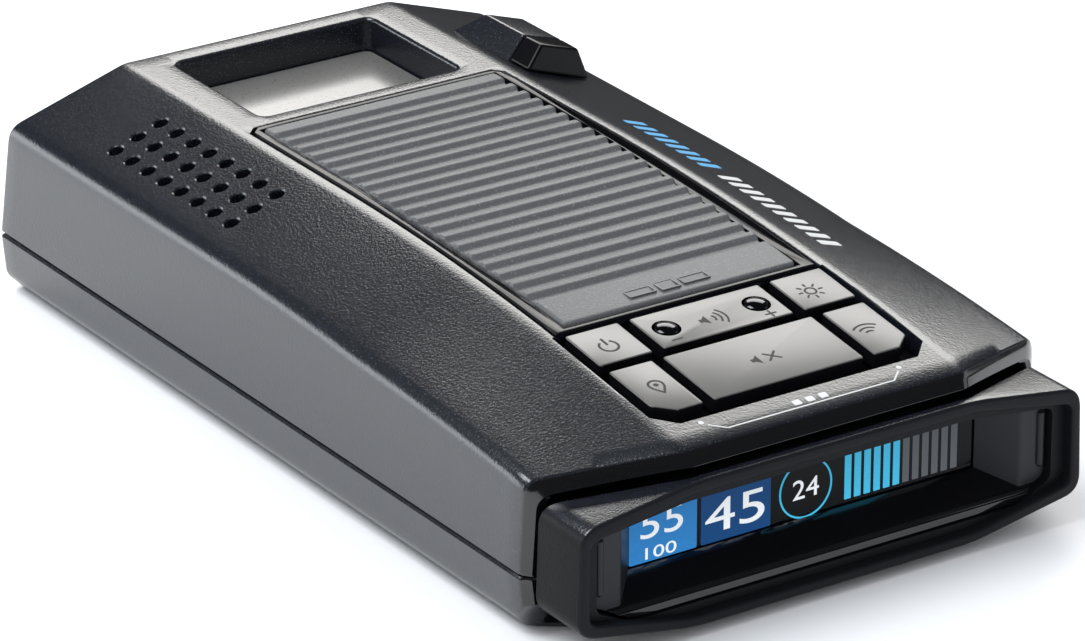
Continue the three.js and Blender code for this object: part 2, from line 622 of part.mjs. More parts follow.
// A thin lead along a hand-set route.
function makeLead(points, radius) {
  const curve = new THREE.CatmullRomCurve3(points.map((point) => new THREE.Vector3(...point)));
  const round = new THREE.Shape();
  round.absarc(0, 0, radius, 0, 2 * Math.PI);
  return toSolid(new THREE.ExtrudeGeometry(round, {
    steps: 14, extrudePath: curve, bevelEnabled: false, curveSegments: 4,
  }));
}

// ---- sound -----------------------------------------------------------------------------------------

const speakerPlate = (halfU, halfV, low, high, radius) => upright(
  roundedRectangle(-halfU, -halfV, halfU, halfV, radius), low, high,
);

function makeSpeaker() {
  return add(
    speakerPlate(5.6, 14.4, -5.6, -4.1, 4),
    speakerPlate(4.6, 12.6, -8.0, -5.4, 4),
    boxBetween([-4, -6, -9.6], [4, 6, -7.8]),
  );
}

function makeGasket() {
  return toSolid(speakerPlate(5.6, 14.4, -3.9, -3.1, 4))
    .subtract(toSolid(speakerPlate(4.7, 13.5, -4.5, -2.5, 4)));
}

// ---- jacks -----------------------------------------------------------------------------------------

function makePowerJack() {
  const { y0, y1, z0, z1 } = JACKS.power;
  const middle = (y0 + y1) / 2;
  const body = boxBetween([22, y0, z0], [36.2, y1, z1]);
  const socket = boxBetween([25, middle - 3.4, z0 + 1.4], [38, middle + 3.4, z0 + 6.4]);
  const latch = boxBetween([25, middle - 1.7, z0 + 6.2], [38, middle + 1.7, z0 + 7.9]);
  return toSolid(body).subtract(add(socket, latch));
}

function makeUsbJack() {
  const { y0, y1, z0, z1 } = JACKS.usb;
  const mouth = boxBetween([31.5, y0 + 0.5, z0 + 0.5], [38, y1 - 0.5, z1 - 0.5]);
  return toSolid(boxBetween([31, y0, z0], [36.2, y1, z1])).subtract(toSolid(mouth));
}

function makeEarphoneJack() {
  const { y, z, radius } = JACKS.earphone;
  const collar = cylinder(radius, 31, 36.3, 0, 0, 20).rotateY(Math.PI / 2).translate(0, y, z);
  const bore = cylinder(1.8, 24, 38, 0, 0, 16).rotateY(Math.PI / 2).translate(0, y, z);
  return add(boxBetween([22, y - 3.1, z - 3.2], [32, y + 3.1, z + 3]), collar).subtract(toSolid(bore));
}

// ---- screws ----------------------------------------------------------------------------------------

function makeScrew(x, y, head, shank, headLow, headHigh, tip) {
  const reach = head * 0.6;
  const halfSlot = 0.35;
  const drive = headLow + 0.6;
  const slot = boxBetween([x - reach, y - halfSlot, headLow - 1], [x + reach, y + halfSlot, drive]);
  const cross = boxBetween([x - halfSlot, y - reach, headLow - 1], [x + halfSlot, y + reach, drive]);
  return add(
    cylinder(head, headLow, headHigh, x, y, 16),
    cylinder(shank, headHigh - 0.2, tip, x, y, 12),
  ).subtract(add(slot, cross));
}

function makeBoardScrew(x, y) {
  const top = BOARD.bottom + BOARD.thick + 0.1;
  return add(cylinder(2.2, top, top + 1.4, x, y, 16), cylinder(0.9, 4, top + 0.2, x, y, 10));
}

// ---- assembly --------------------------------------------------------------------------------------

const detector = new THREE.Group();

function place(name, solid, look, matrix) {
  const mesh = new THREE.Mesh(toGeometry(solid), new THREE.MeshStandardMaterial(look));
  mesh.name = name;
  if (matrix) {
    mesh.applyMatrix4(matrix);
  }
  detector.add(mesh);
}

const block = (...corners) => toSolid(boxBetween(...corners));
const boardTop = BOARD.bottom + BOARD.thick + 0.15;
const LEAD_RADIUS = 0.6;

place('top_shell', makeTopShell(), PLASTIC);
place('bottom_shell', makeBottomShell(), PLASTIC);
place('front_window', makeFrontWindow(), GLOSS);
place('display_bezel', makeBezel(), PLASTIC);
place('hood_liner', makeHoodLiner(), GLOSS);
place('display_window', makeDisplayWindow(), GLOSS);
place('display_module', block([-26.4, SCREEN.y + 1.15, 6.6], [26.4, -57.9, 15.7]), STEEL);
place('display_board', block([-26, -57.4, 4.4], [26, -56.6, 13.4]), BOARD_GREEN);
const displayRoute = [[-56.3, 11], [-53.5, 11], [-50.5, 9.6], [-44.5, 9.6]];
place('display_ribbon', ribbon(displayRoute, 0.25, -6, 6), LENS_RED);

place('gps_cover', makePad(), MATTE_GREY);
place('gps_trim', makeTrim(), GLOSS);
place('gps_patch', block([-9, -4, 20.4], [9, 14, 24.4]), CERAMIC);
place('gps_board', block([-11, -6, 19.3], [11, 16, 20.1]), BOARD_GREEN);
const gpsRoute = [[-11.4, -3, 19.7], [-14.5, -5, 18.5], [-16.5, -7, 14], [-17, -7.5, 10.2]];
place('gps_lead', makeLead(gpsRoute, LEAD_RADIUS), GLOSS);

for (const key of KEYS) {
  const solid = key.name === 'volume_rocker' ? makeVolumeRocker(key) : makeKey(key);
  place(key.name, solid, KEY_GREY, keyFrame);
}
place('volume_dome_left', makeDome(-1), GLOSS, keyFrame);
place('volume_dome_right', makeDome(1), GLOSS, keyFrame);
place('key_frame', makeKeyFrame(), GLOSS, keyFrame);
place('key_mat', makeKeyMat(), SILICONE, keyFrame);
place('key_board', block([-18.4, -8.8, -9.6], [18.4, 9.2, -8.6]), BOARD_GREEN, keyFrame);
place('key_ribbon', ribbon([[-41, 15.9], [-40.4, 12], [-40, 9.6], [-35, 9.6]], 0.25, 11, 17), LENS_RED);

place('main_board', makeMainBoard(), BOARD_GREEN);
place('processor_shield', makeCan([-23, -30, boardTop], [-5, -12, boardTop + 2.6], 0.4), METAL);
place('wireless_module', block([6, -34, boardTop], [20, -22, boardTop + 1.8]), METAL);
place('backup_capacitor', toSolid(cylinder(4.5, boardTop, boardTop + 5, 27, -28, 20)), STEEL);
place('horn_antenna', makeHorn(), METAL);
place('rf_board', block([-14, 3, 11.4], [14, 25, 12.2]), BOARD_GREEN);
place('rf_shield', makeCan([-12.5, 4.5, 12.4], [12.5, 23.5, 17.6], 0.5), METAL);

for (const [side, x] of [['left', -22.5], ['right', 22.5]]) {
  place(`front_laser_lens_${side}`, makeLens(x), LENS_RED);
  place(`front_laser_sensor_${side}`, block([x - 3, 54.6, 10], [x + 3, 58.4, 18]), STEEL);
}

const capFoot = block([25.9, 35.1, 24.5], [30.5, 37.2, 29]);
const capBody = toSolid(laserBlock(32.9, 37.5, 0.7, 0, 0.9)).subtract(
  toSolid(bodyForm(upperSection(-0.15), false)),
);
place('rear_laser_cap', capBody.add(capFoot), GLOSS);
place('rear_laser_sensor', block([26, 38.2, 23.6], [30.4, 43.5, 27.6]), STEEL);

place('speaker', makeSpeaker(), STEEL, speakerFrame);
place('speaker_gasket', makeGasket(), SILICONE, speakerFrame);
place('speaker_mesh', toSolid(speakerPlate(5.6, 14.4, -2.9, -2.65, 4)), MATTE_GREY, speakerFrame);
const speakerRoute = [[-26, 15.6, 19.5], [-26.5, 12, 18.5], [-26, 6, 13], [-25, 2, 10.3]];
place('speaker_lead', makeLead(speakerRoute, LEAD_RADIUS), GLOSS);

const plateTop = TOP_Z - POCKET.depth;
const plateSide = POCKET.halfWidth - 0.3;
const plateOutline = roundedRectangle(-plateSide, POCKET.rear + 0.3, plateSide, POCKET.front - 0.3, 1.2);
place('mount_plate', toSolid(upright(plateOutline, plateTop - 0.5, plateTop)), STEEL);
for (const [side, x] of [['left', -8], ['right', 8]]) {
  place(`mount_magnet_${side}`, toSolid(cylinder(4, 20.6, 22.5, x, 48, 20)), METAL);
}

place('power_jack', makePowerJack(), GLOSS);
place('usb_jack', makeUsbJack(), METAL);
place('earphone_jack', makeEarphoneJack(), GLOSS);

for (const [where, x, y] of CASE_SCREWS) {
  place(`case_screw_${where}`, makeScrew(x, y, 2.6, 1.2, 0.7, 2.4, 14), STEEL);
}
for (const [side, x, y] of BEZEL_SCREWS) {
  place(`bezel_screw_${side}`, makeScrew(x, y, 2.0, 0.9, 0.2, 1.1, 5.8), STEEL);
}
for (const [side, x, y] of BOARD_SCREWS) {
  place(`board_screw_${side}`, makeBoardScrew(x, y), STEEL);
}

export default detector;
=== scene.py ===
# Looks of the radar detector. Lengths below are millimetres; a mesh is scaled to metres when it is published.
import json
from math import atan, atan2, cos, dist, pi, radians, sin, sqrt, tau

import bmesh
import bpy
from mathutils import Matrix, Vector

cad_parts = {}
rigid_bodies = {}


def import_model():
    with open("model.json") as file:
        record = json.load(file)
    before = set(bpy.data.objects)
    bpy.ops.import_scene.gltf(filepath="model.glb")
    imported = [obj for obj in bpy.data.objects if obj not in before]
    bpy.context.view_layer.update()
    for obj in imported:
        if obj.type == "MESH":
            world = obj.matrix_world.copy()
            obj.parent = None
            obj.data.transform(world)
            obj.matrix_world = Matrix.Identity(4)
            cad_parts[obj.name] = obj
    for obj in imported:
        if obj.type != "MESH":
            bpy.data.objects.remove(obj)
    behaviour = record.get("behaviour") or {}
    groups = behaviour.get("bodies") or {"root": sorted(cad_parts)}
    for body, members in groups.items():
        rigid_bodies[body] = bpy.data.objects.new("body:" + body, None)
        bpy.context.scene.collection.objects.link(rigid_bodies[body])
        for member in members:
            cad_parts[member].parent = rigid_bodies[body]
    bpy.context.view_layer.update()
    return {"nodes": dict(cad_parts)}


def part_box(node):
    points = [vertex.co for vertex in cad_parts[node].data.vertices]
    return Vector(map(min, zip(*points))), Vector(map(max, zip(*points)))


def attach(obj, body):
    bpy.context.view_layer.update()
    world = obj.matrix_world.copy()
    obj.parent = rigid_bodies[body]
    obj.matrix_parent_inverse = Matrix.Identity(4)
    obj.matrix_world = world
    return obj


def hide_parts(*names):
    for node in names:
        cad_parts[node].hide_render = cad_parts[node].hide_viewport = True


for leftover in list(bpy.data.objects):
    bpy.data.objects.remove(leftover)

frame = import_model()
nodes = frame["nodes"]
MM = 0.001


def low(node):
    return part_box(node)[0] / MM


def high(node):
    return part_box(node)[1] / MM


# ---- camera and lights ----

CAMERA_PLACE = (-0.398863, -0.602695, 0.329741)
CAMERA_RIGHT = (0.831924, -0.55489, 0.0)
CAMERA_UP = (0.223981, 0.335806, 0.914914)
CAMERA_BACK = (-0.507676, -0.761138, 0.40365)
SENSOR_WIDTH = 36.0
LENS = 209.04
PALE_SKY = (0.95, 0.96, 1.0, 1.0)
DARK_SKY = (0.85, 0.92, 1.0, 1.0)


def placed_object(name, data):
    made = bpy.data.objects.new(name, data)
    bpy.context.scene.collection.objects.link(made)
    return made


def make_camera():
    data = bpy.data.cameras.new("camera")
    data.sensor_width = SENSOR_WIDTH
    data.lens = LENS
    data.clip_start = 0.05
    camera = placed_object("camera", data)
    turn = Matrix((CAMERA_RIGHT, CAMERA_UP, CAMERA_BACK)).transposed()
    camera.matrix_world = Matrix.Translation(CAMERA_PLACE) @ turn.to_4x4()
    bpy.context.scene.camera = camera


def softbox(name, azimuth, elevation, distance, width, height, radiance, color):
    """A rectangular light that faces the object. Azimuth is measured from +Y towards +X."""
    data = bpy.data.lights.new(name, "AREA")
    data.shape = "RECTANGLE"
    data.size = width
    data.size_y = height
    data.energy = radiance * pi * width * height
    data.color = color
    light = placed_object(name, data)
    a, e = radians(azimuth), radians(elevation)
    out = Vector((sin(a) * cos(e), cos(a) * cos(e), sin(e)))
    light.location = out * distance
    light.rotation_mode = "QUATERNION"
    light.rotation_quaternion = out.to_track_quat("Z", "Y")
    light.visible_camera = False


def make_world():
    """Pale in diffuse light, but dark in reflections, so that the softboxes shape the gloss."""
    world = bpy.data.worlds.new("studio")
    bpy.context.scene.world = world
    world.use_nodes = True
    tree = world.node_tree
    tree.nodes.clear()
    out = tree.nodes.new("ShaderNodeOutputWorld")
    path = tree.nodes.new("ShaderNodeLightPath")
    mix = tree.nodes.new("ShaderNodeMixShader")
    tree.links.new(path.outputs["Is Glossy Ray"], mix.inputs["Fac"])
    for slot, color, strength in ((1, PALE_SKY, 0.8), (2, DARK_SKY, 0.07)):
        sky = tree.nodes.new("ShaderNodeBackground")
        sky.inputs["Color"].default_value = color
        sky.inputs["Strength"].default_value = strength
        tree.links.new(sky.outputs[0], mix.inputs[slot])
    tree.links.new(mix.outputs[0], out.inputs["Surface"])


bpy.context.scene.view_settings.view_transform = "Standard"
make_camera()
make_world()
softbox("softbox_back", 38, 33, 0.75, 0.52, 0.33, 5.1, (1.0, 0.985, 0.955))
softbox("softbox_left", -46, 6, 0.80, 0.80, 0.34, 3.2, (0.93, 0.97, 1.0))
softbox("softbox_top", -76, 60, 0.80, 0.50, 0.50, 7.0, (0.95, 0.98, 1.0))
softbox("softbox_right", 112, 14, 0.80, 0.45, 0.30, 0.8, (0.93, 0.97, 1.0))


# ---- materials ----

class Look:
    """A principled material with helpers for its procedural detail, in object coordinates."""

    def __init__(self, name, color, roughness, metallic=0.0, coat=0.0, specular=0.5):
        self.material = bpy.data.materials.new(name)
        self.material.use_nodes = True
        self.tree = self.material.node_tree
        self.shader = self.tree.nodes["Principled BSDF"]
        self.color = (*color, 1.0)
        self.roughness = roughness
        self.normal = None
        self.feed(self.shader, {
            "Base Color": self.color, "Roughness": roughness, "Metallic": metallic,
            "Specular IOR Level": specular, "Coat Weight": coat, "Coat Roughness": 0.04,
        })
        self.place = self.tree.nodes.new("ShaderNodeTexCoord").outputs["Object"]

    def feed(self, node, values):
        """Sets each input to a value, or links it to the output of another node."""
        for name, value in values.items():
            if isinstance(value, bpy.types.NodeSocket):
                self.tree.links.new(value, node.inputs[name])
            else:
                node.inputs[name].default_value = value

    def node(self, kind, output, values, **settings):
        """Makes a node, and gives back one of its outputs."""
        made = self.tree.nodes.new("ShaderNode" + kind)
        for name, value in settings.items():
            setattr(made, name, value)
        self.feed(made, values)
        return made.outputs[output]

    def noise(self, per_mm, detail=2.0, scale=(1.0, 1.0, 1.0)):
        place = self.node("Mapping", "Vector", {"Scale": scale, "Vector": self.place})
        return self.node("TexNoise", "Fac", {"Scale": per_mm / MM, "Detail": detail, "Vector": place})

    def wave(self, per_mm, direction):
        values = {"Scale": per_mm / MM / 3, "Vector": self.place}
        return self.node("TexWave", "Fac", values, wave_type="BANDS", bands_direction=direction)

    def ranged(self, value, from_low, from_high, to_low, to_high):
        values = {"From Min": from_low, "From Max": from_high, "To Min": to_low, "To Max": to_high}
        return self.node("MapRange", "Result", {**values, "Value": value})

    def calculate(self, operation, first, second):
        return self.node("Math", 0, {0: first, 1: second}, operation=operation)

    def bump(self, height, depth_mm):
        values = {"Strength": 1.0, "Distance": depth_mm * MM, "Height": height}
        if self.normal:
            values["Normal"] = self.normal
        self.normal = self.node("Bump", "Normal", values)
        self.feed(self.shader, {"Normal": self.normal})

    def vary_roughness(self, per_mm, amount):
        least, most = self.roughness - amount, self.roughness + amount
        spread = self.ranged(self.noise(per_mm, 3.0), 0.3, 0.7, least, most)
        self.feed(self.shader, {"Roughness": spread})

    def mix_color(self, share, other):
        links = self.shader.inputs["Base Color"].links
        first = links[0].from_socket if links else self.color
        values = {"A": first, "B": (*other, 1.0), "Factor": share}
        self.feed(self.shader, {"Base Color": self.node("Mix", "Result", values, data_type="RGBA")})


def moulded(name, color, roughness, grain_per_mm, grain_depth, fleck, **extra):
    """Moulded plastic: a fine grain, slow changes of gloss and a sparse lighter fleck."""
    look = Look(name, color, roughness, **extra)
    look.vary_roughness(1.5, 0.008)
    look.mix_color(look.ranged(look.noise(grain_per_mm * 1.6, 1.0), 0.62, 0.72, 0.0, 0.8), fleck)
    look.bump(look.noise(grain_per_mm, 2.0), grain_depth)
    return look.material


def polished(name, color, roughness=0.09, **extra):
    """Polished plastic with faint moulding waves and hairline haze."""
    look = Look(name, color, roughness, **{"coat": 0.6, **extra})
    look.vary_roughness(0.4, 0.03)
    look.bump(look.noise(0.12, 1.0), 0.012)
    look.bump(look.noise(3.0, 2.0), 0.0008)
    return look.material


def metal(name, color, roughness, brush=(1.0, 1.0, 1.0)):
    """Metal with a brushed or blasted skin and a slightly uneven tone."""
    look = Look(name, color, roughness, metallic=1.0)
    look.vary_roughness(0.3, 0.06)
    darker = tuple(part * 0.75 for part in color)
    look.mix_color(look.ranged(look.noise(0.15, 3.0), 0.4, 0.7, 0.0, 0.7), darker)
    look.bump(look.noise(2.2, 2.0, brush), 0.004)
    return look.material


def circuit(name):
    """Green solder mask over copper tracks."""
    look = Look(name, (0.01, 0.07, 0.03), 0.28, coat=0.3)
    values = {"Scale": 0.45 / MM, "Mortar Size": 0.06, "Vector": look.place}
    tracks = look.node("TexBrick", "Fac", values)
    look.mix_color(tracks, (0.03, 0.16, 0.06))
    look.bump(tracks, 0.03)
    look.vary_roughness(0.2, 0.05)
    return look.material


def woven(name, color, per_mm):
    """Open cloth: two crossed sets of threads."""
    look = Look(name, color, 0.9)
    threads = look.calculate("MAXIMUM", look.wave(per_mm, "X"), look.wave(per_mm, "Y"))
    look.mix_color(threads, tuple(part * 3 for part in color))
    look.bump(threads, 0.08)
    return look.material


# How much of the display's glow is taken away at its top, as painted shade from the hood.
TOP_SHADE = 0.35


def lit(name, color, strength=1.0):
    """A lit part of the display, its glow painted darker towards the top as painted shade from the hood."""
    look = Look(name, (0.0, 0.0, 0.0), 0.25, specular=0.12)
    level = look.node("SeparateXYZ", "Z", {0: look.place})
    # painted shade: the glow is lowered towards the top of the display, where the hood shades it
    shade = look.ranged(level, 7.5 * MM, 17 * MM, strength, strength * (1 - TOP_SHADE))
    grid = look.ranged(look.noise(4.0, 1.0), 0.3, 0.7, 0.96, 1.04)
    glow = look.calculate("MULTIPLY", shade, grid)
    look.feed(look.shader, {"Emission Color": (*color, 1.0), "Emission Strength": glow})
    return look.material


def printed(name, color, roughness=0.5):
    """Printed ink: slightly uneven cover."""
    look = Look(name, color, roughness)
    thin = look.ranged(look.noise(5.0, 2.0), 0.35, 0.75, 0.0, 0.35)
    look.mix_color(thin, tuple(part * 0.8 for part in color))
    look.bump(look.noise(7.0, 1.0), 0.003)
    return look.material


SHELL = moulded("shell", (0.006, 0.0075, 0.0115), 0.24, 2.9, 0.036, (0.042, 0.05, 0.068), specular=1.0)
# A darker, polished copy of the shell plastic for the rear bevel band: its darkness is a painted dark
# reflection.
SHADED_SHELL_RIM = polished("shaded_shell_rim", (0.004, 0.004, 0.005), 0.14)
HOOD_FACE = moulded("hood_face", (0.009, 0.01, 0.012), 0.44, 3.5, 0.006, (0.014, 0.015, 0.018), specular=0.12)
# A darker copy of the bezel plastic for the hood's outer side walls: painted shade.
SHADED_HOOD_SIDE = moulded("shaded_hood_side", (0.004, 0.004, 0.005), 0.34, 2.2, 0.03, (0.012, 0.012, 0.014), specular=0.1)
CHEEK = moulded("cheek", (0.013, 0.0145, 0.018), 0.38, 4.0, 0.003, (0.018, 0.020, 0.024), specular=0.3)
PAD_GREY = moulded("pad", (0.088, 0.091, 0.096), 0.46, 2.4, 0.045, (0.18, 0.183, 0.188))
KEY_SATIN = moulded("key", (0.095, 0.094, 0.090), 0.30, 5.0, 0.003, (0.085, 0.084, 0.080), specular=0.7)
PLATE = moulded("plate", (0.15, 0.148, 0.142), 0.20, 2.5, 0.004, (0.07, 0.069, 0.066), specular=1.0)
GLOSS = polished("gloss", (0.005, 0.005, 0.006))
TRIM_GLOSS = polished("trim_gloss", (0.004, 0.004, 0.005), 0.2, coat=0.0, specular=0.18)


def slot_of(material):
    return material.name.split(".")[0]


SLOTS = {slot_of(material): material for material in (
    polished("window_tint", (0.012, 0.004, 0.006), 0.06),
    polished("display_glass", (0.002, 0.0025, 0.004), 0.10, coat=0.0, specular=0.12),
    metal("dome_chrome", (0.06, 0.06, 0.065), 0.12),
    moulded("jack_plastic", (0.012, 0.012, 0.013), 0.35, 4.0, 0.006, (0.02, 0.02, 0.021)),
    polished("lens_plastic", (0.020, 0.003, 0.006), 0.05),
    moulded("sensor_plastic", (0.010, 0.008, 0.010), 0.4, 4.0, 0.006, (0.02, 0.02, 0.02)),
    circuit("circuit_board"),
    polished("flex_film", (0.35, 0.16, 0.03), 0.3),
    moulded("lead_jacket", (0.012, 0.012, 0.012), 0.5, 5.0, 0.005, (0.02, 0.02, 0.02)),
    moulded("silicone", (0.30, 0.31, 0.32), 0.65, 3.0, 0.008, (0.33, 0.34, 0.35)),
    moulded("foam", (0.02, 0.02, 0.02), 0.9, 2.5, 0.12, (0.035, 0.035, 0.035)),
    woven("mesh_fabric", (0.006, 0.006, 0.0065), 3.0),
    moulded("ceramic", (0.55, 0.50, 0.40), 0.6, 3.0, 0.01, (0.6, 0.55, 0.45)),
    metal("cast_metal", (0.55, 0.56, 0.58), 0.42),
    metal("plated_steel", (0.52, 0.53, 0.55), 0.30, (1.0, 6.0, 1.0)),
    metal("speaker_steel", (0.30, 0.31, 0.33), 0.35),
    metal("capacitor_can", (0.50, 0.51, 0.53), 0.28),
    metal("magnet_plating", (0.60, 0.60, 0.62), 0.16),
    metal("screw_steel", (0.10, 0.10, 0.105), 0.34),
)}
SLOTS.update(
    shell=SHELL, bezel=HOOD_FACE, liner=GLOSS, trim_gloss=TRIM_GLOSS, pad_plastic=PAD_GREY,
    key_plastic=KEY_SATIN, plate_gloss=PLATE,
)
INK_WHITE = printed("ink_white", (0.58, 0.59, 0.59))
INK_BLUE = printed("ink_blue", (0.05, 0.32, 0.62))
INK_DARK = printed("ink_dark", (0.012, 0.012, 0.012), 0.6)


# ---- making meshes ----

def clean(mesh, distance):
    """Merges points that lie together, and turns all faces outwards."""
    build = bmesh.new()
    build.from_mesh(mesh)
    bmesh.ops.remove_doubles(build, verts=build.verts, dist=distance)
    bmesh.ops.recalc_face_normals(build, faces=build.faces)
    build.to_mesh(mesh)
    build.free()


def surface(name, points, faces, material=None):
    mesh = bpy.data.meshes.new(name)
    mesh.from_pydata(points, [], faces)
    if material:
        mesh.materials.append(material)
    return placed_object(name, mesh)


def solid(name, points, faces):
    piece = surface(name, points, faces)
    clean(piece.data, 1e-5)
    return piece


def quads(base, after, count, closed=True):
    """Faces between two rows of points."""
    return [
        (base + k, base + (k + 1) % count, after + (k + 1) % count, after + k)
        for k in range(count if closed else count - 1)
    ]


def loft(name, rings, capped=True):
    """Joins rings of equal length. With no caps the last ring meets the first."""
    count, whole = len(rings[0]), sum(map(len, rings))
    points = [point for ring in rings for point in ring]
    faces = []
    for base in range(0, whole - count if capped else whole, count):
        faces += quads(base, (base + count) % whole, count)
    if capped:
        faces += [tuple(range(count)), tuple(range(whole - count, whole))]
    return solid(name, points, faces)


def prism(name, outline, low_z, high_z):
    return loft(name, [[(x, y, z) for x, y in outline] for z in (low_z, high_z)])


def rectangle(x0, y0, x1, y1):
    return [(x0, y0), (x1, y0), (x1, y1), (x0, y1)]


def mirrored(outline):
    return [(-x, y) for x, y in reversed(outline)]


def circle(radius, steps, x=0.0, y=0.0):
    turns = [k * tau / steps for k in range(steps)]
    return [(x + radius * cos(turn), y + radius * sin(turn)) for turn in turns]


def modify(piece, kind, **settings):
    change = piece.modifiers.new(kind.lower(), kind)
    for name, value in settings.items():
        setattr(change, name, value)


def combine(piece, operation, *tools):
    """Cuts or joins closed meshes, and removes the tools."""
    for tool in tools:
        modify(piece, "BOOLEAN", solver="MANIFOLD", operation=operation, object=tool)
    graph = bpy.context.evaluated_depsgraph_get()
    mesh = bpy.data.meshes.new_from_object(piece.evaluated_get(graph))
    piece.modifiers.clear()
    piece.data = mesh
    for tool in tools:
        bpy.data.objects.remove(tool)
    return piece


def publish(piece, material, replaced=(), body="root", turn=None, sharp=32.0, bevel=0.0):
    """Scales a piece to metres, shades it, gives it its materials, hangs it on its body and hides the CAD
    nodes that it replaces.
    """
    if turn is not None:
        piece.data.transform(turn)
    piece.data.transform(Matrix.Scale(MM, 4))
    piece.data.shade_smooth()
    piece.data.set_sharp_from_angle(angle=radians(sharp))
    piece.data.materials.clear()
    for each in material if isinstance(material, tuple) else (material,):
        piece.data.materials.append(each)
    if bevel:
        round_edges(piece, bevel)
    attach(piece, body)
    if replaced:
        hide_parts(*replaced)
    return piece


def round_edges(piece, width, segments=2):
    """Rounds the sharp edges of a solid by a small radius, in millimetres."""
    modify(piece, "WELD", merge_threshold=1e-6)
    modify(piece, "DECIMATE", decimate_type="DISSOLVE", angle_limit=radians(0.6))
    modify(
        piece, "BEVEL", width=width * MM, segments=segments, limit_method="ANGLE",
        angle_limit=radians(35), use_clamp_overlap=True, harden_normals=False,
    )


def box(name, corner, opposite):
    (x0, y0, z0), (x1, y1, z1) = corner, opposite
    return prism(name, rectangle(x0, y0, x1, y1), z0, z1)


def quadratic(start, control, end, steps):
    ways = [k / steps for k in range(steps + 1)]
    return [
        tuple((1 - t) ** 2 * a + 2 * t * (1 - t) * b + t * t * c for a, b, c in zip(start, control, end))
        for t in ways
    ]


def between(start, end, steps):
    """Points from start up to, but not including, end."""
    return [tuple(a + (b - a) * k / steps for a, b in zip(start, end)) for k in range(steps)]


def soft(points, radius, steps=6):
    """An outline with its corners rounded."""
    outline = []
    for index, corner in enumerate(points):
        here = Vector(corner)
        arms = []
        for other in (points[index - 1], points[(index + 1) % len(points)]):
            way = Vector(other) - here
            arms.append(tuple(here + way.normalized() * min(radius, way.length * 0.4)))
        outline += quadratic(arms[0], corner, arms[1], steps)
    return outline


def dense(points, longest):
    """An outline whose edges are split, so that it can follow a curved surface."""
    outline = []
    for start, end in zip(points, points[1:] + points[:1]):
        outline += between(start, end, max(1, round(dist(start, end) / longest)))
    return outline


def grown(points, distance):
    """A counter-clockwise outline moved outwards by a distance."""
    outline = []
    for index, corner in enumerate(points):
        here = Vector(corner)
        before = (here - Vector(points[index - 1])).normalized()
        after = (Vector(points[(index + 1) % len(points)]) - here).normalized()
        out_before, out_after = Vector((before.y, -before.x)), Vector((after.y, -after.x))
        middle = (out_before + out_after).normalized()
        outline.append(tuple(here + middle * (distance / max(0.3, middle.dot(out_before)))))
    return outline


def quarter_turn(steps, first=1):
    """The angles of a quarter circle, in equal steps."""
    return [k / steps * pi / 2 for k in range(first, steps + 1)]


def level_ground(x, y):
    return 0.0


def stacked(name, outline, levels, height):
    """An outline through pairs of growth and level. height says how far the surface falls below a level."""
    return loft(name, [[(x, y, z - height(x, y)) for x, y in grown(outline, grow)] for grow, z in levels])


def rounded_prism(name, outline, bottom, top, radius, steps, height=level_ground):
    """A prism with a rounded top edge."""
    arc = [(-radius * (1 - cos(a)), top - radius + radius * sin(a)) for a in quarter_turn(steps)]
    return stacked(name, outline, [(0.0, bottom), (0.0, top - radius)] + arc, height)


def flared_cutter(name, outline, floor, surface, radius, steps=3, height=level_ground):
    """A cutter that rounds the edge of the opening that it makes."""
    edge = surface - radius
    arc = [(radius * (1 - cos(a)), edge + radius * sin(a)) for a in quarter_turn(steps)]
    above = [(radius + 0.6, surface + 0.02), (radius + 0.6, surface + 4)]
    return stacked(name, outline, [(0.0, floor), (0.0, edge)] + arc + above, height)


def turned(name, levels, place, steps, capped=True):
    """Circles about a vertical line, through pairs of radius and level."""
    x, y = place[:2]
    return loft(name, [[(a, b, z) for a, b in circle(r, steps, x, y)] for r, z in levels], capped)


def drum(name, radius, bottom, top, place, steps=24, flare=0.0):
    levels = [(radius, bottom), (radius, top - flare), (radius + flare, top), (radius + flare, top + flare)]
    return turned(name, levels if flare else [(radius, bottom), (radius, top)], place, steps)


def lathe(name, profile, steps=40):
    """A closed turned piece about the z axis. The profile starts and ends on the axis."""
    points = [(0, 0, profile[0][1]), (0, 0, profile[-1][1])]
    rows = profile[1:-1]
    for r, z in rows:
        points += [(a, b, z) for a, b in circle(r, steps)]
    faces = []
    for k in range(steps):
        after = (k + 1) % steps
        faces.append((0, 2 + after, 2 + k))
        for base in range(2, 2 + (len(rows) - 1) * steps, steps):
            faces.append((base + k, base + after, base + steps + after, base + steps + k))
        last = 2 + (len(rows) - 1) * steps
        faces.append((1, last + k, last + after))
    return solid(name, points, faces)


# ---- the outer form ----

HALF_WIDTH = high("top_shell").x
SHOULDER_X, SHOULDER_FALL, SHOULDER_ROUND, CREASE_ROUND = 37.0, 1.9, 1.8, 0.8
TOP_Z = 29.4
PARTING_Z = (low("top_shell").z + high("bottom_shell").z) / 2
CREASE_X = 20.4
FLANK_SLOPE = 0.345
REAR_FLANK_SLOPE = 0.24
FALL_START_Y = 12.0
FALL_RADIUS = 452.0
EASE_START_Y, EASE_LENGTH = -20.0, 37.0
REAR_Y = -64.1
REAR_SWEEP = 0.48
RIM_STEP = 1.2
RIM_DROP = 1.8
RIM_SIDE = 1.1
RIM_RISE = 0.7
RIM_END, HOLLOW_OVERSHOOT = 0.22, 12
REAR_TUCK = 3.6
TUCK_HEIGHT = 4.0
WALL = 2.3
FLOOR = 2.0
FRONT_ROUND = 0.9
SEAM = 0.3
EARPHONE_Z = 13.0
LIP = 1.4
FRONT_PROFILE = [(-1, 66.7), (1.6, 66.8), (PARTING_Z, 67.0), (21.5, 65.1), (TOP_Z, 63.5), (33, 62.6)]


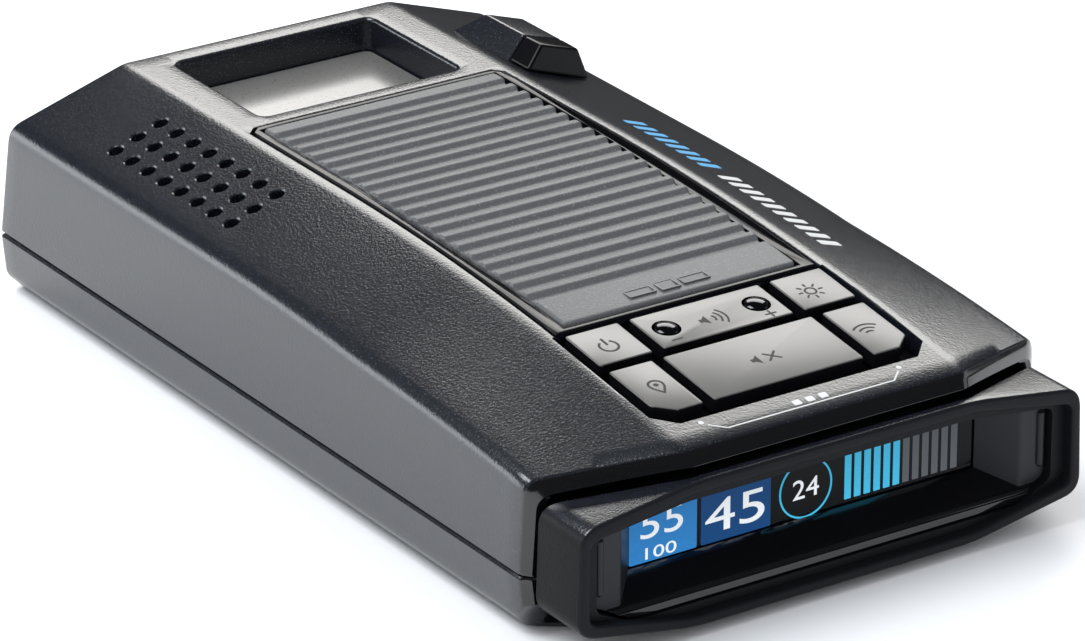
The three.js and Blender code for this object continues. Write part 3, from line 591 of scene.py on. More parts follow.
def clamp(value, least=0.0, most=1.0):
    return max(least, min(most, value))


def drop(x, y):
    fall = max(0.0, FALL_START_Y - y) ** 2 / (2 * FALL_RADIUS)
    share = clamp((EASE_START_Y - y) / EASE_LENGTH, 0, 1.2)
    return fall - share * (FLANK_SLOPE - REAR_FLANK_SLOPE) * max(abs(x) - CREASE_X, 0)


def top_height(x, y):
    return TOP_Z - FLANK_SLOPE * max(abs(x) - CREASE_X, 0) - drop(x, y)


def rear_edge(x):
    return REAR_Y + REAR_SWEEP * max(abs(x) - CREASE_X, 0)


def follow(table, at):
    """Reads a value between the pairs of a table."""
    for (a, first), (b, second) in zip(table, table[1:]):
        if at <= b:
            return first + (second - first) * (at - a) / (b - a)
    return table[-1][1]


def upper_half(inset, start):
    """Half of the upper cross-section, from the parting line to the middle of the plateau."""
    shoulder = SHOULDER_X - inset
    crease, level = CREASE_X - 0.167 * inset, TOP_Z - inset

    def flank(x):
        return TOP_Z - 1.058 * inset - FLANK_SLOPE * (x - CREASE_X)

    foot = (shoulder + 0.07, flank(shoulder) - SHOULDER_FALL)
    above = (shoulder - SHOULDER_ROUND, flank(shoulder - SHOULDER_ROUND))
    outer, inner = crease + CREASE_ROUND, crease - CREASE_ROUND
    points = between(start, foot, 8)
    points += quadratic(foot, (shoulder, flank(shoulder)), above, 8)
    points += between(points.pop(), (outer, flank(outer)), 8)
    points += quadratic((outer, flank(outer)), (crease, level), (inner, level), 5)
    points += between(points.pop(), (0.0, level), 8) + [(0.0, level)]
    return points


def lower_half(inset, start, floor):
    """Half of the lower cross-section, from the parting line to the middle of the floor."""
    side = HALF_WIDTH - inset
    knee, foot = (side - 0.5, floor + 2.3), (side - 2.8, floor)
    above = (side - 0.4, floor + 3.0)
    points = between(start, above, 4)
    points += quadratic(above, knee, (knee[0] - 0.5, knee[1] - 0.5), 4)
    points += between(points.pop(), (foot[0] + 0.5, foot[1] + 0.5), 2)
    points += quadratic((foot[0] + 0.5, foot[1] + 0.5), foot, (foot[0] - 0.8, floor), 4)
    points += between(points.pop(), (CREASE_X, floor), 5)
    points += between((CREASE_X, floor), (0.0, floor), 6) + [(0.0, floor)]
    return points


def inward(section):
    """Unit normals of an open cross-section, pointing into the body."""
    middle = Vector((0.0, PARTING_Z))
    found = []
    for index, (x, z) in enumerate(section):
        before = Vector(section[max(0, index - 1)])
        after = Vector(section[min(len(section) - 1, index + 1)])
        along = (after - before).normalized()
        across = Vector((-along.y, along.x))
        found.append(across if across.dot(middle - Vector((x, z))) > 0 else -across)
    return found


def shell_form(name, half, inset=0.0, rim=True, stations=46):
    """A closed body from the swept rear edge to the rounded front face."""
    section = [(-x, z) for x, z in half] + [(x, z) for x, z in reversed(half[:-1])]
    normals = inward(section)
    shoulder_low = TOP_Z - FLANK_SLOPE * (SHOULDER_X - CREASE_X) - SHOULDER_FALL

    def placed(x, y, z, share=0.0):
        rise = clamp((z - PARTING_Z) / (shoulder_low - PARTING_Z))
        sink = clamp((PARTING_Z - z) / (PARTING_Z - 2.3))
        height = z - rise * (drop(x, y) + share * RIM_DROP) + sink * share * RIM_RISE
        return (x * (1 - share * RIM_SIDE / HALF_WIDTH), y - share * RIM_STEP, height)

    def start(x, z):
        tuck = clamp(1 - z / TUCK_HEIGHT) * clamp((abs(x) - CREASE_X) / 14)
        return rear_edge(x) + (REAR_TUCK * tuck if rim else -HOLLOW_OVERSHOOT)

    def end(z):
        return follow(FRONT_PROFILE, z) - inset

    rows = []
    if rim:
        rows += [[placed(x, start(x, z), z, share) for x, z in section] for share in (1.0, 0.55, 0.12)]
    for k in range(stations + 1):
        way = k / stations
        row = []
        for x, z in section:
            first = start(x, z) + (RIM_END if rim else 0)
            y = first + (end(z) - FRONT_ROUND - first) * way
            row.append(placed(x, y, z))
        rows.append(row)
    for angle in quarter_turn(4):
        shrink = FRONT_ROUND * (1 - cos(angle))
        ahead = FRONT_ROUND * sin(angle)
        row = []
        for (x, z), normal in zip(section, normals):
            y = end(z) - FRONT_ROUND + ahead
            row.append(placed(x + normal.x * shrink, y, z + normal.y * shrink))
        rows.append(row)

    count = len(section)
    points = [point for row in rows for point in row]
    faces = []
    for base in range(0, len(points) - count, count):
        faces += quads(base, base + count, count, False)
        faces.append((base, base + count - 1, base + 2 * count - 1, base + count))
    for base in (0, len(points) - count):
        for k in range(count // 2):
            strip = [base + k, base + k + 1, base + count - 2 - k, base + count - 1 - k]
            faces.append(tuple(dict.fromkeys(strip)))
    return solid(name, points, faces)


# ---- measures that several pieces share ----

POCKET_LOW, POCKET_HIGH = low("mount_plate"), high("mount_plate")
POCKET_GAP = 0.3
POCKET_CORNER = 1.5
RECESS_DEPTH = 2.6
PAD_LOW, PAD_HIGH = low("gps_cover"), high("gps_cover")
PAD_FRONT_HALF, PAD_REAR_HALF = PAD_HIGH.x, PAD_HIGH.x - 0.6
TRIM_LOW, TRIM_HIGH = low("gps_trim"), high("gps_trim")
TRIM_CHAMFER = 1.4
WELL = [(-17.2, -12.4), (17.2, -12.4), (19.8, -9.8), (19.8, 10.7), (-19.8, 10.7), (-19.8, -9.8)]
WELL_DEPTH = 3.6
STEM_PLACES = ((-14.85, 6), (14.85, 6), (-6, 6), (6, 6), (-15.4, -4.2), (15.4, -4.2), (0, -4.8))
SPEAKER_ROWS, SPEAKER_COLUMNS = 3, 8
SPEAKER_ACROSS, SPEAKER_ALONG, SPEAKER_RADIUS = 3.52, 4.06, 1.0


def middle_of(node):
    return (low(node) + high(node)) / 2


def tilted(x, y, slope, axis):
    """A frame on the shell's upper face, with its own slope."""
    return Matrix.Translation((x, y, top_height(x, y))) @ Matrix.Rotation(atan(slope), 4, axis)


KEY_FRAME = tilted(0, -47.0, 0.1295, "X")
SPEAKER_FRAME = tilted(-28.3, 31.65, -FLANK_SLOPE, "Y")
CASE_SCREWS, BEZEL_SCREWS, BOARD_SCREWS = (
    [middle_of(name) for name in nodes if name.startswith(kind + "_screw")]
    for kind in ("case", "bezel", "board")
)


def in_frame(matrix, piece):
    piece.data.transform(matrix)
    return piece


def trim_outline(grow=0.0):
    side, front, rear = TRIM_HIGH.x + grow, TRIM_HIGH.y + grow, TRIM_LOW.y - grow
    return [
        (-side, rear), (side, rear), (side, front - TRIM_CHAMFER), (side - TRIM_CHAMFER, front),
        (-side + TRIM_CHAMFER, front), (-side, front - TRIM_CHAMFER),
    ]


def window_opening():
    first, last = low("front_window"), high("front_window")
    return box("cut_window", (first.x + LIP, 55, first.z + LIP), (last.x - LIP, 75, last.z - LIP))


def jack_openings():
    gap = 0.35
    cutters = []
    for node in ("power_jack", "usb_jack"):
        first, last = low(node), high(node)
        outline = rectangle(first.y - gap, first.z - gap, last.y + gap, last.z + gap)
        rings = [[(x, y, z) for y, z in grown(outline, grow)]
                 for x, grow in ((33, 0.0), (HALF_WIDTH - 0.4, 0.0), (42, 4.6))]
        cutters.append(loft("cut_" + node, rings))
    y = middle_of("earphone_jack").y
    tube = [[(x, y + a, EARPHONE_Z + b) for a, b in circle(3.35, 32)] for x in (33, 42)]
    return cutters + [loft("cut_earphone", tube)]


# ---- the two shells ----

def laser_housing():
    """The block on the right flank, in front of the glossy laser cap."""
    section = [(22.2, -1.2), (25.4, 3.95), (31.2, 4.1), (33.0, -1.2)]
    y_rear, y_front, slant = high("rear_laser_cap").y + 0.3, 52.3, 5.4
    rings = [[], []]
    for x, rise in section:
        z = top_height(x, 30) + rise
        share = max(rise, 0) / 4
        rings[0].append((x, y_rear, z))
        rings[1].append((x, y_front - slant * share, z))
    block = loft("laser_housing", rings)
    build = bmesh.new()
    build.from_mesh(block.data)
    edges = [edge for edge in build.edges if min(v.co.z for v in edge.verts) > 26]
    bmesh.ops.bevel(build, geom=edges, offset=0.4, segments=3, profile=0.6, affect="EDGES")
    build.to_mesh(block.data)
    build.free()
    return block


def make_upper_case():
    edge = low("top_shell").z
    seam_start = [(HALF_WIDTH - SEAM, edge), (HALF_WIDTH, edge + SEAM)]
    case = shell_form("upper_case", seam_start[:1] + upper_half(0.0, seam_start[1]))
    hollow = shell_form("hollow", upper_half(WALL, (HALF_WIDTH - WALL, edge - 1)), WALL, False, 24)
    inside = shell_form("inside", upper_half(0.4, (HALF_WIDTH - 0.4, edge + 0.1)), 0.6, stations=24)
    combine(case, "DIFFERENCE", hollow)

    pans = [
        rounded_prism("pan_pad", dense(trim_outline(1.6), 4), TOP_Z - 4.1, TOP_Z - 1.4, 0.05, 1, drop),
        in_frame(KEY_FRAME, rounded_prism("pan_keys", grown(WELL, 1.3), -5.2, -1.6, 0.05, 1)),
        box("pan_pocket", (-16.9, 35, 22.7), (16.9, 61.3, 28)),
    ]
    foot = high("main_board").z + 0.1
    for place in CASE_SCREWS:
        pans.append(drum("boss", 3.0, foot, top_height(place.x, place.y) - 1.2, place))
    for pan in pans:
        combine(case, "UNION", combine(pan, "INTERSECT", copy_of(inside)))
    bpy.data.objects.remove(inside)
    combine(case, "UNION", laser_housing())

    half_x, front, rear = POCKET_HIGH.x + POCKET_GAP, POCKET_HIGH.y + POCKET_GAP, POCKET_LOW.y - POCKET_GAP
    pocket = soft(rectangle(-half_x, rear, half_x, front), POCKET_CORNER, 8)
    cuts = [
        flared_cutter("cut_recess", dense(trim_outline(0.3), 3), TOP_Z - RECESS_DEPTH, TOP_Z, 0.2, 2, drop),
        in_frame(KEY_FRAME, flared_cutter("cut_well", WELL, -WELL_DEPTH, 0.0, 0.25)),
        flared_cutter("cut_pocket", pocket, POCKET_LOW.z - 0.1, TOP_Z, 0.55),
        window_opening(),
        box("cut_sensor", (25.4, 34.6, 20), (31, 45.5, 28.4)),
    ]
    for row in range(SPEAKER_ROWS):
        for column in range(SPEAKER_COLUMNS):
            x = (row - (SPEAKER_ROWS - 1) / 2) * SPEAKER_ACROSS
            y = (column - (SPEAKER_COLUMNS - 1) / 2) * SPEAKER_ALONG
            cuts.append(in_frame(SPEAKER_FRAME, drum("cut_hole", SPEAKER_RADIUS, -4, 0.03, (x, y), 24, 0.22)))
    cuts += [drum("pilot", 1.5, edge - 1, 17, place, 16) for place in CASE_SCREWS]
    for stem_x, stem_y in STEM_PLACES:
        stem = box("cut_stem", (stem_x - 2.2, stem_y - 1.8, -7), (stem_x + 2.2, stem_y + 1.8, 0))
        cuts.append(in_frame(KEY_FRAME, stem))
    combine(case, "DIFFERENCE", *cuts, *jack_openings())
    publish(case, (SHELL, SHADED_SHELL_RIM), ["top_shell"])
    paint_shaded_rim(case)


def paint_shaded_rim(case):
    """The bevel round the display end gets a darker, polished copy of the shell plastic, as a painted dark
    reflection.
    """
    for face in case.data.polygons:
        centre = face.center / MM
        behind = rear_edge(centre.x) - centre.y
        if behind > 0.1 and face.normal.y < -0.3:
            face.material_index = 1


def copy_of(piece):
    twin = piece.copy()
    twin.data = piece.data.copy()
    bpy.context.scene.collection.objects.link(twin)
    return twin


def make_lower_case():
    edge = high("bottom_shell").z
    start = [(HALF_WIDTH - SEAM, edge), (HALF_WIDTH, edge - SEAM)]
    case = shell_form("lower_case", start[:1] + lower_half(0.0, start[1], 0.0))
    hollow = shell_form("hollow", lower_half(WALL, (HALF_WIDTH - WALL, edge + 1), FLOOR), WALL, False, 24)
    combine(case, "DIFFERENCE", hollow)
    board = low("main_board").z
    bosses = []
    cuts = [window_opening()]
    for place in CASE_SCREWS:
        bosses.append(drum("boss", 3.4, 1, board - 0.1, place))
        cuts.append(drum("shank", 1.5, 2, board + 2, place))
        cuts.append(screw_seat(3.0, 2.6, place))
    for place in BEZEL_SCREWS:
        cuts.append(drum("shank", 1.3, 0.5, 4, place))
        cuts.append(screw_seat(2.3, 1.2, place))
    for place in BOARD_SCREWS:
        bosses.append(drum("boss", 2.6, 1, board - 0.1, place))
        cuts.append(drum("pilot", 1.2, 3.2, 9, place))
    cuts.append(prism("cut_plate", soft(rectangle(-22, -30, 22, 26), 2.0, 8), -1, 0.35))
    combine(case, "UNION", *bosses)
    combine(case, "DIFFERENCE", *cuts)
    publish(case, (SHELL, SHADED_SHELL_RIM), ["bottom_shell"])
    paint_shaded_rim(case)


def screw_seat(radius, depth, place):
    """A counterbore from below with a small flare at its mouth."""
    levels = [(radius + 0.6, -0.35), (radius + 0.25, 0.0), (radius, 0.25), (radius, depth)]
    return turned("seat", levels, place, 32)


make_upper_case()
make_lower_case()


# ---- the display end ----

BEZEL_FACE_Y = low("display_bezel").y
BEZEL_BACK_Y = -57.6
HOOD = ((36.1, 17.74), (20.3, 20.1), (20.4, 1.3), (36.5, 4.1))
MOUTH = ((34.8, 15.95), (20.5, 18.5), (20.7, 2.65), (34.9, 5.5))
NECK = ((34.2, 16.6), (20.3, 18.2), (28, 2.4), (34.2, 5.6))
TUNNEL = ((33.0, 15.4), (20.3, 17.0), (28, 3.7), (33.0, 6.0))
SCREEN_Y = -60.2
SCREEN_LOW_Z = 7.7


def hood_outline(corners, radius, grow=0.0, steps=8):
    corner, bend, low_bend, low_corner = corners
    half = [
        (low_bend[0], low_bend[1] - grow), (low_corner[0] + grow, low_corner[1] - grow),
        (corner[0] + grow, corner[1] + grow), (bend[0], bend[1] + grow),
    ]
    return soft(half + mirrored(half), radius, steps)


def along_y(name, outline, levels):
    """An outline in x and z, lofted through pairs of y and growth."""
    return loft(name, [[(x, y, z) for x, z in grown(outline, grow)] for y, grow in levels])


def quarter(radius):
    """Pairs of (advance, growth) round a quarter circle."""
    return [(radius * (1 - sin(a)), radius * (1 - cos(a))) for a in quarter_turn(4, 0)]


def make_bezel():
    face = BEZEL_FACE_Y
    rounding = [(face + ahead, -grow) for ahead, grow in reversed(quarter(0.45))]
    hood = along_y("hood", hood_outline(HOOD, 2.4, 0, 10), rounding + [(-55, 0.0)])
    crease_y, side_y = (rear_edge(x) - RIM_STEP - 0.35 for x in (CREASE_X, 60))
    plan = [(-60, side_y), (-60, -90), (60, -90), (60, side_y), (CREASE_X, crease_y), (-CREASE_X, crease_y)]
    combine(hood, "INTERSECT", prism("behind_rim", plan, -10, 50))
    combine(hood, "UNION", along_y("neck", hood_outline(NECK, 1.6), [(-66, 0), (BEZEL_BACK_Y, 0)]))
    flare = [(face + ahead, grow) for ahead, grow in quarter(0.35)]
    mouth = [(-65.4, 0.0)] + flare + [(face - 0.02, 0.37), (face - 1, 0.9)]
    tunnel = [(-65.6, 0.0), (BEZEL_BACK_Y + 0.5, 0.0)]
    mouth_cut = along_y("mouth", hood_outline(MOUTH, 1.2), mouth)
    combine(hood, "DIFFERENCE", mouth_cut, along_y("tunnel", hood_outline(TUNNEL, 1.0), tunnel))
    for place in BEZEL_SCREWS:
        lug = box("lug", (place.x - 3, -58.2, 2.4), (place.x + 3, place.y + 3, 7.6))
        combine(lug, "DIFFERENCE", along_y("tunnel", hood_outline(TUNNEL, 1.0), tunnel))
        combine(hood, "UNION", lug)
        combine(hood, "DIFFERENCE", drum("pilot", 1.2, 0, 6.4, place, 16))
    publish(hood, (HOOD_FACE, SHADED_HOOD_SIDE, SHELL), ["display_bezel"])
    # Faces of the one bezel moulding get copies of its plastic by direction: the outer side walls the darker
    # copy, as painted shade, and the top facets the more reflective shell plastic, for a brighter lit look.
    for face in hood.data.polygons:
        centre = face.center / MM
        if abs(face.normal.x) > 0.9 and abs(centre.x) > 35.4:
            face.material_index = 1
        elif face.normal.z > 0.6 and centre.z > 15 and centre.y > -66.7:
            face.material_index = 2


def inside_tunnel():
    return along_y("inside", hood_outline(TUNNEL, 0.8, -0.3), [(-65.3, 0.0), (SCREEN_Y - 0.15, 0.0)])


def make_liner():
    ramp = [(-66, 3), (-66, 4.85), (-65.1, 5.0), (-64.6, 5.5), (SCREEN_Y, SCREEN_LOW_Z), (SCREEN_Y, 3)]
    floor = loft("hood_floor", [[(x, y, z) for y, z in ramp] for x in (-34, 34)])
    combine(floor, "INTERSECT", inside_tunnel())
    publish(floor, GLOSS, ["hood_liner"], bevel=0.12)
    for side, name in ((-1, "hood_cheek_left"), (1, "hood_cheek_right")):
        back_y, cheek_y = SCREEN_Y + 0.5, -64.4
        corners = [(25.0, back_y), (25.0, SCREEN_Y), (29.0, cheek_y), (35, cheek_y), (35, back_y)]
        cheek = prism(name, [(x * side, y) for x, y in soft(corners, 0.35)], 4, 20)
        levels = ((0.55 - 0.4, 7.5), (0.55, 7.5 + 0.4), (0.55, 15.1 - 0.4), (0.55 - 0.4, 15.1))
        combine(cheek, "UNION", turned("rib", levels, (side * 32.0, -64.35), 16))
        combine(cheek, "INTERSECT", inside_tunnel())
        publish(cheek, CHEEK)


DISPLAY = Matrix.Translation((0, -60.13, 0)) @ Matrix.Rotation(pi / 2, 4, "X")
SKY = lit("lit_sky", (0.03, 0.24, 0.62), 0.9)
NAVY = lit("lit_navy", (0.005, 0.060, 0.20), 1.0)
CYAN = lit("lit_cyan", (0.05, 0.42, 0.66), 1.2)
DIM = lit("lit_dim", (0.16, 0.18, 0.20), 0.6)
PALE = lit("lit_pale", (0.9, 0.95, 1.0), 1.0)


def digits(name, text, x, base, height, width):
    """Numbers from Blender's own letter shapes, fitted to a box and given a little thickness."""
    curve = bpy.data.curves.new(name, "FONT")
    curve.body = text
    curve.extrude = 0.5
    source = placed_object(name, curve)
    mesh = bpy.data.meshes.new_from_object(source.evaluated_get(bpy.context.evaluated_depsgraph_get()))
    bpy.data.objects.remove(source)
    corners = [vertex.co for vertex in mesh.vertices]
    left, bottom = min(c.x for c in corners), min(c.y for c in corners)
    across, up = max(c.x for c in corners) - left, max(c.y for c in corners) - bottom
    for corner in corners:
        corner.x = x + (corner.x - left) / across * width
        corner.y = base + (corner.y - bottom) / up * height
        corner.z = 0.03 + corner.z * 0.03
    clean(mesh, 1e-4)
    return placed_object(name, mesh)


def panel(name, x0, z0, x1, z1, radius=0.3):
    return prism(name, soft(rectangle(x0, z0, x1, z1), radius, 4), -0.06, 0.02)


def ring(name, x, y, outer, inner, low_z, high_z):
    levels = [(outer, low_z), (outer, high_z), (inner, high_z), (inner, low_z)]
    return turned(name, levels, (x, y), 48, False)


def make_graphics():
    """A thin lit picture on the display: fields, plain numbers, a ring and a bar graph."""
    lit_pieces = [
        (panel("display_field_one", -24.9, 7.7, -15.3, 16.4), SKY),
        (panel("display_field_two", -14.7, 7.7, -4.7, 16.4), NAVY),
        (digits("display_number_one", "55", -23.3, 10.7, 3.5, 6.0), PALE),
        (digits("display_number_two", "45", -14.1, 8.9, 4.2, 8.5), PALE),
        (digits("display_number_three", "24", -1.5, 10.0, 2.5, 3.8), PALE),
        (digits("display_number_four", "100", -22.6, 8.0, 1.5, 4.4), PALE),
        (ring("display_ring", 0.4, 11.2, 3.85, 3.62, -0.06, 0.03), CYAN),
    ]
    for index in range(12):
        x = 6.1 + index * 1.43
        bar = panel(f"display_bar_{index + 1}", x, 8.2, x + 0.95, 15.6, 0.1)
        lit_pieces.append((bar, CYAN if index < 6 else DIM))
    for piece, material in lit_pieces:
        publish(piece, material, turn=DISPLAY)


make_bezel()
make_liner()
make_graphics()


# ---- the pad and its trim ----

RIB_COUNT = 20
RIB_PITCH = 3.0
RIB_START = 31.4
RIB_SOFTENING = 0.09
RIB_SHAPE = [(0.0, 0.0), (0.9, 0.0), (1.6, -0.55), (2.5, -0.44), (3.0, 0.0)]
PAD_TOP = TOP_Z + 0.35
PAD_SEAT = TOP_Z - RECESS_DEPTH + 0.3


def rib_height(y):
    """Height of the pad's ribbed skin under its crests."""
    behind = RIB_START - y
    if behind < 0 or behind > RIB_COUNT * RIB_PITCH:
        return 0.0
    return follow(RIB_SHAPE, behind % RIB_PITCH)


def softened_rib(y):
    return sum(rib_height(y + RIB_SOFTENING * (k - 2) / 2) for k in range(5)) / 5


def make_pad():
    step = 0.125
    rows = round((PAD_HIGH.y - PAD_LOW.y) / step)
    rings = []
    for row in range(rows + 1):
        y = PAD_HIGH.y - row * (PAD_HIGH.y - PAD_LOW.y) / rows
        share = row / rows
        rise = softened_rib(y)
        side = PAD_FRONT_HALF + (PAD_REAR_HALF - PAD_FRONT_HALF) * share + 0.35 * rise
        ends = min(PAD_HIGH.y - y, y - PAD_LOW.y)
        if ends < 0.8:
            side -= 0.8 - sqrt(max(0.0, 0.64 - (0.8 - ends) ** 2))
        edge = 0.5 * (1 - sqrt(max(0.0, 1 - (1 - clamp(ends / 0.5)) ** 2)))
        top = PAD_TOP + rise - drop(0, y) - edge
        base = PAD_SEAT - drop(0, y)
        corner = 0.45
        section = [(side, base), (side, top - corner)]
        for angle in quarter_turn(4):
            section.append((side - corner * (1 - cos(angle)), top - corner * (1 - sin(angle))))
        section += mirrored(section)
        rings.append([(x, y, z) for x, z in section])
    pad = loft("gps_pad", rings)
    for outline in gps_mark():
        combine(pad, "UNION", outline)
    publish(pad, PAD_GREY, ["gps_cover"], sharp=50)


def gps_mark():
    """A raised line drawing of a satellite, on the smooth band behind the ribs."""
    y = -32.4
    level = PAD_TOP - drop(0, y)

    def frame_of(x0, x1, half):
        outer = soft(rectangle(x0, y - half, x1, y + half), 0.25, 3)
        inner = grown(outer, -0.22)
        levels = [(outer, -0.5), (outer, 0.14), (inner, 0.14), (inner, -0.5)]
        return loft("mark", [[(a, b, level + z) for a, b in line] for line, z in levels], False)

    yield frame_of(-6.4, -2.5, 0.95)
    yield frame_of(-1.9, 0.9, 1.2)
    yield frame_of(1.5, 5.4, 0.95)


def make_trim():
    outer = dense(trim_outline(), 3)
    plate = rounded_prism("trim", outer, PAD_SEAT, TOP_Z + 0.1, 0.22, 3, drop)
    side_front, side_rear = PAD_FRONT_HALF + 0.3, PAD_REAR_HALF + 0.3
    hole = [(-side_rear, PAD_LOW.y - 0.3), (side_rear, PAD_LOW.y - 0.3),
            (side_front, PAD_HIGH.y + 0.3), (-side_front, PAD_HIGH.y + 0.3)]
    combine(plate, "DIFFERENCE", flared_cutter("hole", dense(hole, 3), 20, TOP_Z + 0.1, 0.15, 2, drop))
    publish(plate, TRIM_GLOSS, ["gps_trim"], sharp=40)


make_pad()
make_trim()


# ---- the keys ----

KEY_TOP = 0.25
KEY_FOOT = KEY_TOP - 2.0
STEM_FOOT = -6.6
DOME_X, DOME_Y, SEAT_RADIUS = 6.55, 6, 1.8
INK_LOW, INK_HIGH = 0.2, 0.265
ROW_ONE = (2.2, 9.8)
ROW_TWO = (-10.2, 0.6)


OUTER_ONE = rectangle(11.1, ROW_ONE[0], 18.6, ROW_ONE[1])
OUTER_TWO = [(12.4, ROW_TWO[0]), (16.1, ROW_TWO[0]), (18.5, -8.1), (18.5, ROW_TWO[1]), (12.4, ROW_TWO[1])]
KEYS = {
    "power_key": (mirrored(OUTER_ONE), STEM_PLACES[0:1]),
    "brightness_key": (OUTER_ONE, STEM_PLACES[1:2]),
    "volume_rocker": (rectangle(-9.4, ROW_ONE[0], 9.4, ROW_ONE[1]), STEM_PLACES[2:4]),
    "mark_key": (mirrored(OUTER_TWO), STEM_PLACES[4:5]),
    "sensitivity_key": (OUTER_TWO, STEM_PLACES[5:6]),
    "mute_key": (rectangle(-10.8, ROW_TWO[0], 10.8, ROW_TWO[1]), STEM_PLACES[6:7]),
}


def make_key(name, outline, stems):
    cap = rounded_prism(name + "_cap", soft(outline, 0.35, 4), KEY_FOOT, KEY_TOP, 0.16, 3)
    for x, y in stems:
        combine(cap, "UNION", box("stem", (x - 1.6, y - 1.2, STEM_FOOT), (x + 1.6, y + 1.2, KEY_FOOT + 0.2)))
    if name == "volume_rocker":
        for side in (-1, 1):
            seat = drum("seat", SEAT_RADIUS, KEY_TOP - 0.8, 3, (DOME_X * side, DOME_Y), 40)
            combine(cap, "DIFFERENCE", seat)
    walls = [face.index for face in cap.data.polygons if face.center.z < KEY_TOP - 0.12]
    publish(cap, (KEY_SATIN, GLOSS), [name], name, KEY_FRAME, 40)
    for index in walls:
        cap.data.polygons[index].material_index = 1


def bar(x0, y0, x1, y1, width):
    """A straight stroke with round ends."""
    along = Vector((x1 - x0, y1 - y0)).normalized()
    turn = atan2(along.y, along.x)
    outline = []
    for (x, y), start in (((x1, y1), -pi / 2), ((x0, y0), pi / 2)):
        for k in range(9):
            angle = turn + start + k / 8 * pi
            outline.append((x + width / 2 * cos(angle), y + width / 2 * sin(angle)))
    return prism("stroke", outline, INK_LOW, INK_HIGH)


def plate_of(points):
    return prism("plate", points, INK_LOW, INK_HIGH)


def joined(name, pieces):
    first, *others = pieces
    first.name = name
    for other in others:
        combine(first, "UNION", other)
    return first


def horn_sign(x, y, size):
    """A little loudspeaker."""
    shape = ((0, -0.35), (0.5, -0.35), (1.2, -1), (1.2, 1), (0.5, 0.35), (0, 0.35))
    points = [(x + a * size, y + b * size) for a, b in shape]
    return plate_of(points[:2] + points[4:]), plate_of(points[1:5])


def arc(x, y, radius, width, first, last, steps=12):
    turns = [radians(first + (last - first) * k / steps) for k in range(steps + 1)]
    sides = ((radius, turns), (radius - width, turns[::-1]))
    return plate_of([(x + r * cos(a), y + r * sin(a)) for r, way in sides for a in way])


def key_signs():
    """The key, the name and the strokes of each sign."""
    power = arc(-15.1, 5.6, 1.35, 0.32, 122, 418, 24)
    yield "power_key", "power_sign", [power, bar(-15.1, 6.0, -15.1, 7.3, 0.34)]
    x, y = 14.3, 5.6
    sun = [ring("circle", x, y, 0.85, 0.85 - 0.28, INK_LOW, INK_HIGH)]
    for a in (radians(45 * k) for k in range(8)):
        c, s = cos(a), sin(a)
        sun.append(bar(x + 1.2 * c, y + 1.2 * s, x + 1.65 * c, y + 1.65 * s, 0.28))
    for k, piece in enumerate(sun):
        yield "brightness_key", f"brightness_sign_{k}", [piece]
    yield "volume_rocker", "volume_horn", horn_sign(-2.1, 5.5, 0.95)
    for k, reach in enumerate((1.0, 1.75, 2.5)):
        yield "volume_rocker", f"volume_wave_{k}", [arc(-0.7, 5.5, reach, 0.28, -42, 42)]
    yield "volume_rocker", "volume_less", [bar(-7.5, 3.3, -6.1, 3.3, 0.28)]
    plus = [bar(6.1, 3.3, 7.5, 3.3, 0.28), bar(6.8, 2.6, 6.8, 4.0, 0.28)]
    yield "volume_rocker", "volume_more", plus
    pin = [arc(-15.2, -4.4, 1.1, 0.32, -30, 210, 20)]
    pin += [bar(x, -4.95, -15.2, -6.3, 0.32) for x in (-16.05, -14.35)]
    yield "mark_key", "mark_sign", pin
    yield "mark_key", "mark_dot", [plate_of(circle(0.35, 16, -15.2, -4.4))]
    yield "mute_key", "mute_horn", horn_sign(-1.9, -5.0, 0.95)
    yield "mute_key", "mute_cross", [bar(0.3, -5.8, 1.9, -4.2, 0.3), bar(0.3, -4.2, 1.9, -5.8, 0.3)]
    for k, reach in enumerate((0.9, 1.7, 2.5)):
        yield "sensitivity_key", f"sensitivity_wave_{k}", [arc(15.0, -6.2, reach, 0.3, 45, 135)]


def make_domes():
    for side, name in ((-1, "volume_dome_left"), (1, "volume_dome_right")):
        profile = [(0, -0.5), (1.5, -0.5), (1.5, -0.15)]
        profile += [(1.5 * cos(a), -0.15 + 0.55 * sin(a)) for a in quarter_turn(10)[:-1]]
        dome = lathe(name + "_cap", profile + [(0, 0.4)])
        seat = KEY_FRAME @ Matrix.Translation((DOME_X * side, DOME_Y, KEY_TOP))
        publish(dome, SLOTS["dome_chrome"], [name], "volume_rocker", seat, 50)


for key, (outline, stems) in KEYS.items():
    make_key(key, outline, stems)
make_domes()
for key, name, strokes in key_signs():
    publish(joined(name, strokes), INK_DARK, body=key, turn=KEY_FRAME)


# ---- print on the shell ----

def printed_on(name, outline):
    """A thin layer on the shell, which follows its surface."""
    layer = prism(name, outline, -1, 1)
    for vertex in layer.data.vertices:
        x, y, z = vertex.co
        vertex.co.z = top_height(x, y) + (0.025 if z > 0 else -0.1)
    return layer


def tile(name, x0, y0, x1, y1, radius=0.3):
    return printed_on(name, dense(soft(rectangle(x0, y0, x1, y1), radius, 3), 3))


TILE_LENGTH = 1.3
TILE_PITCH = 2.35


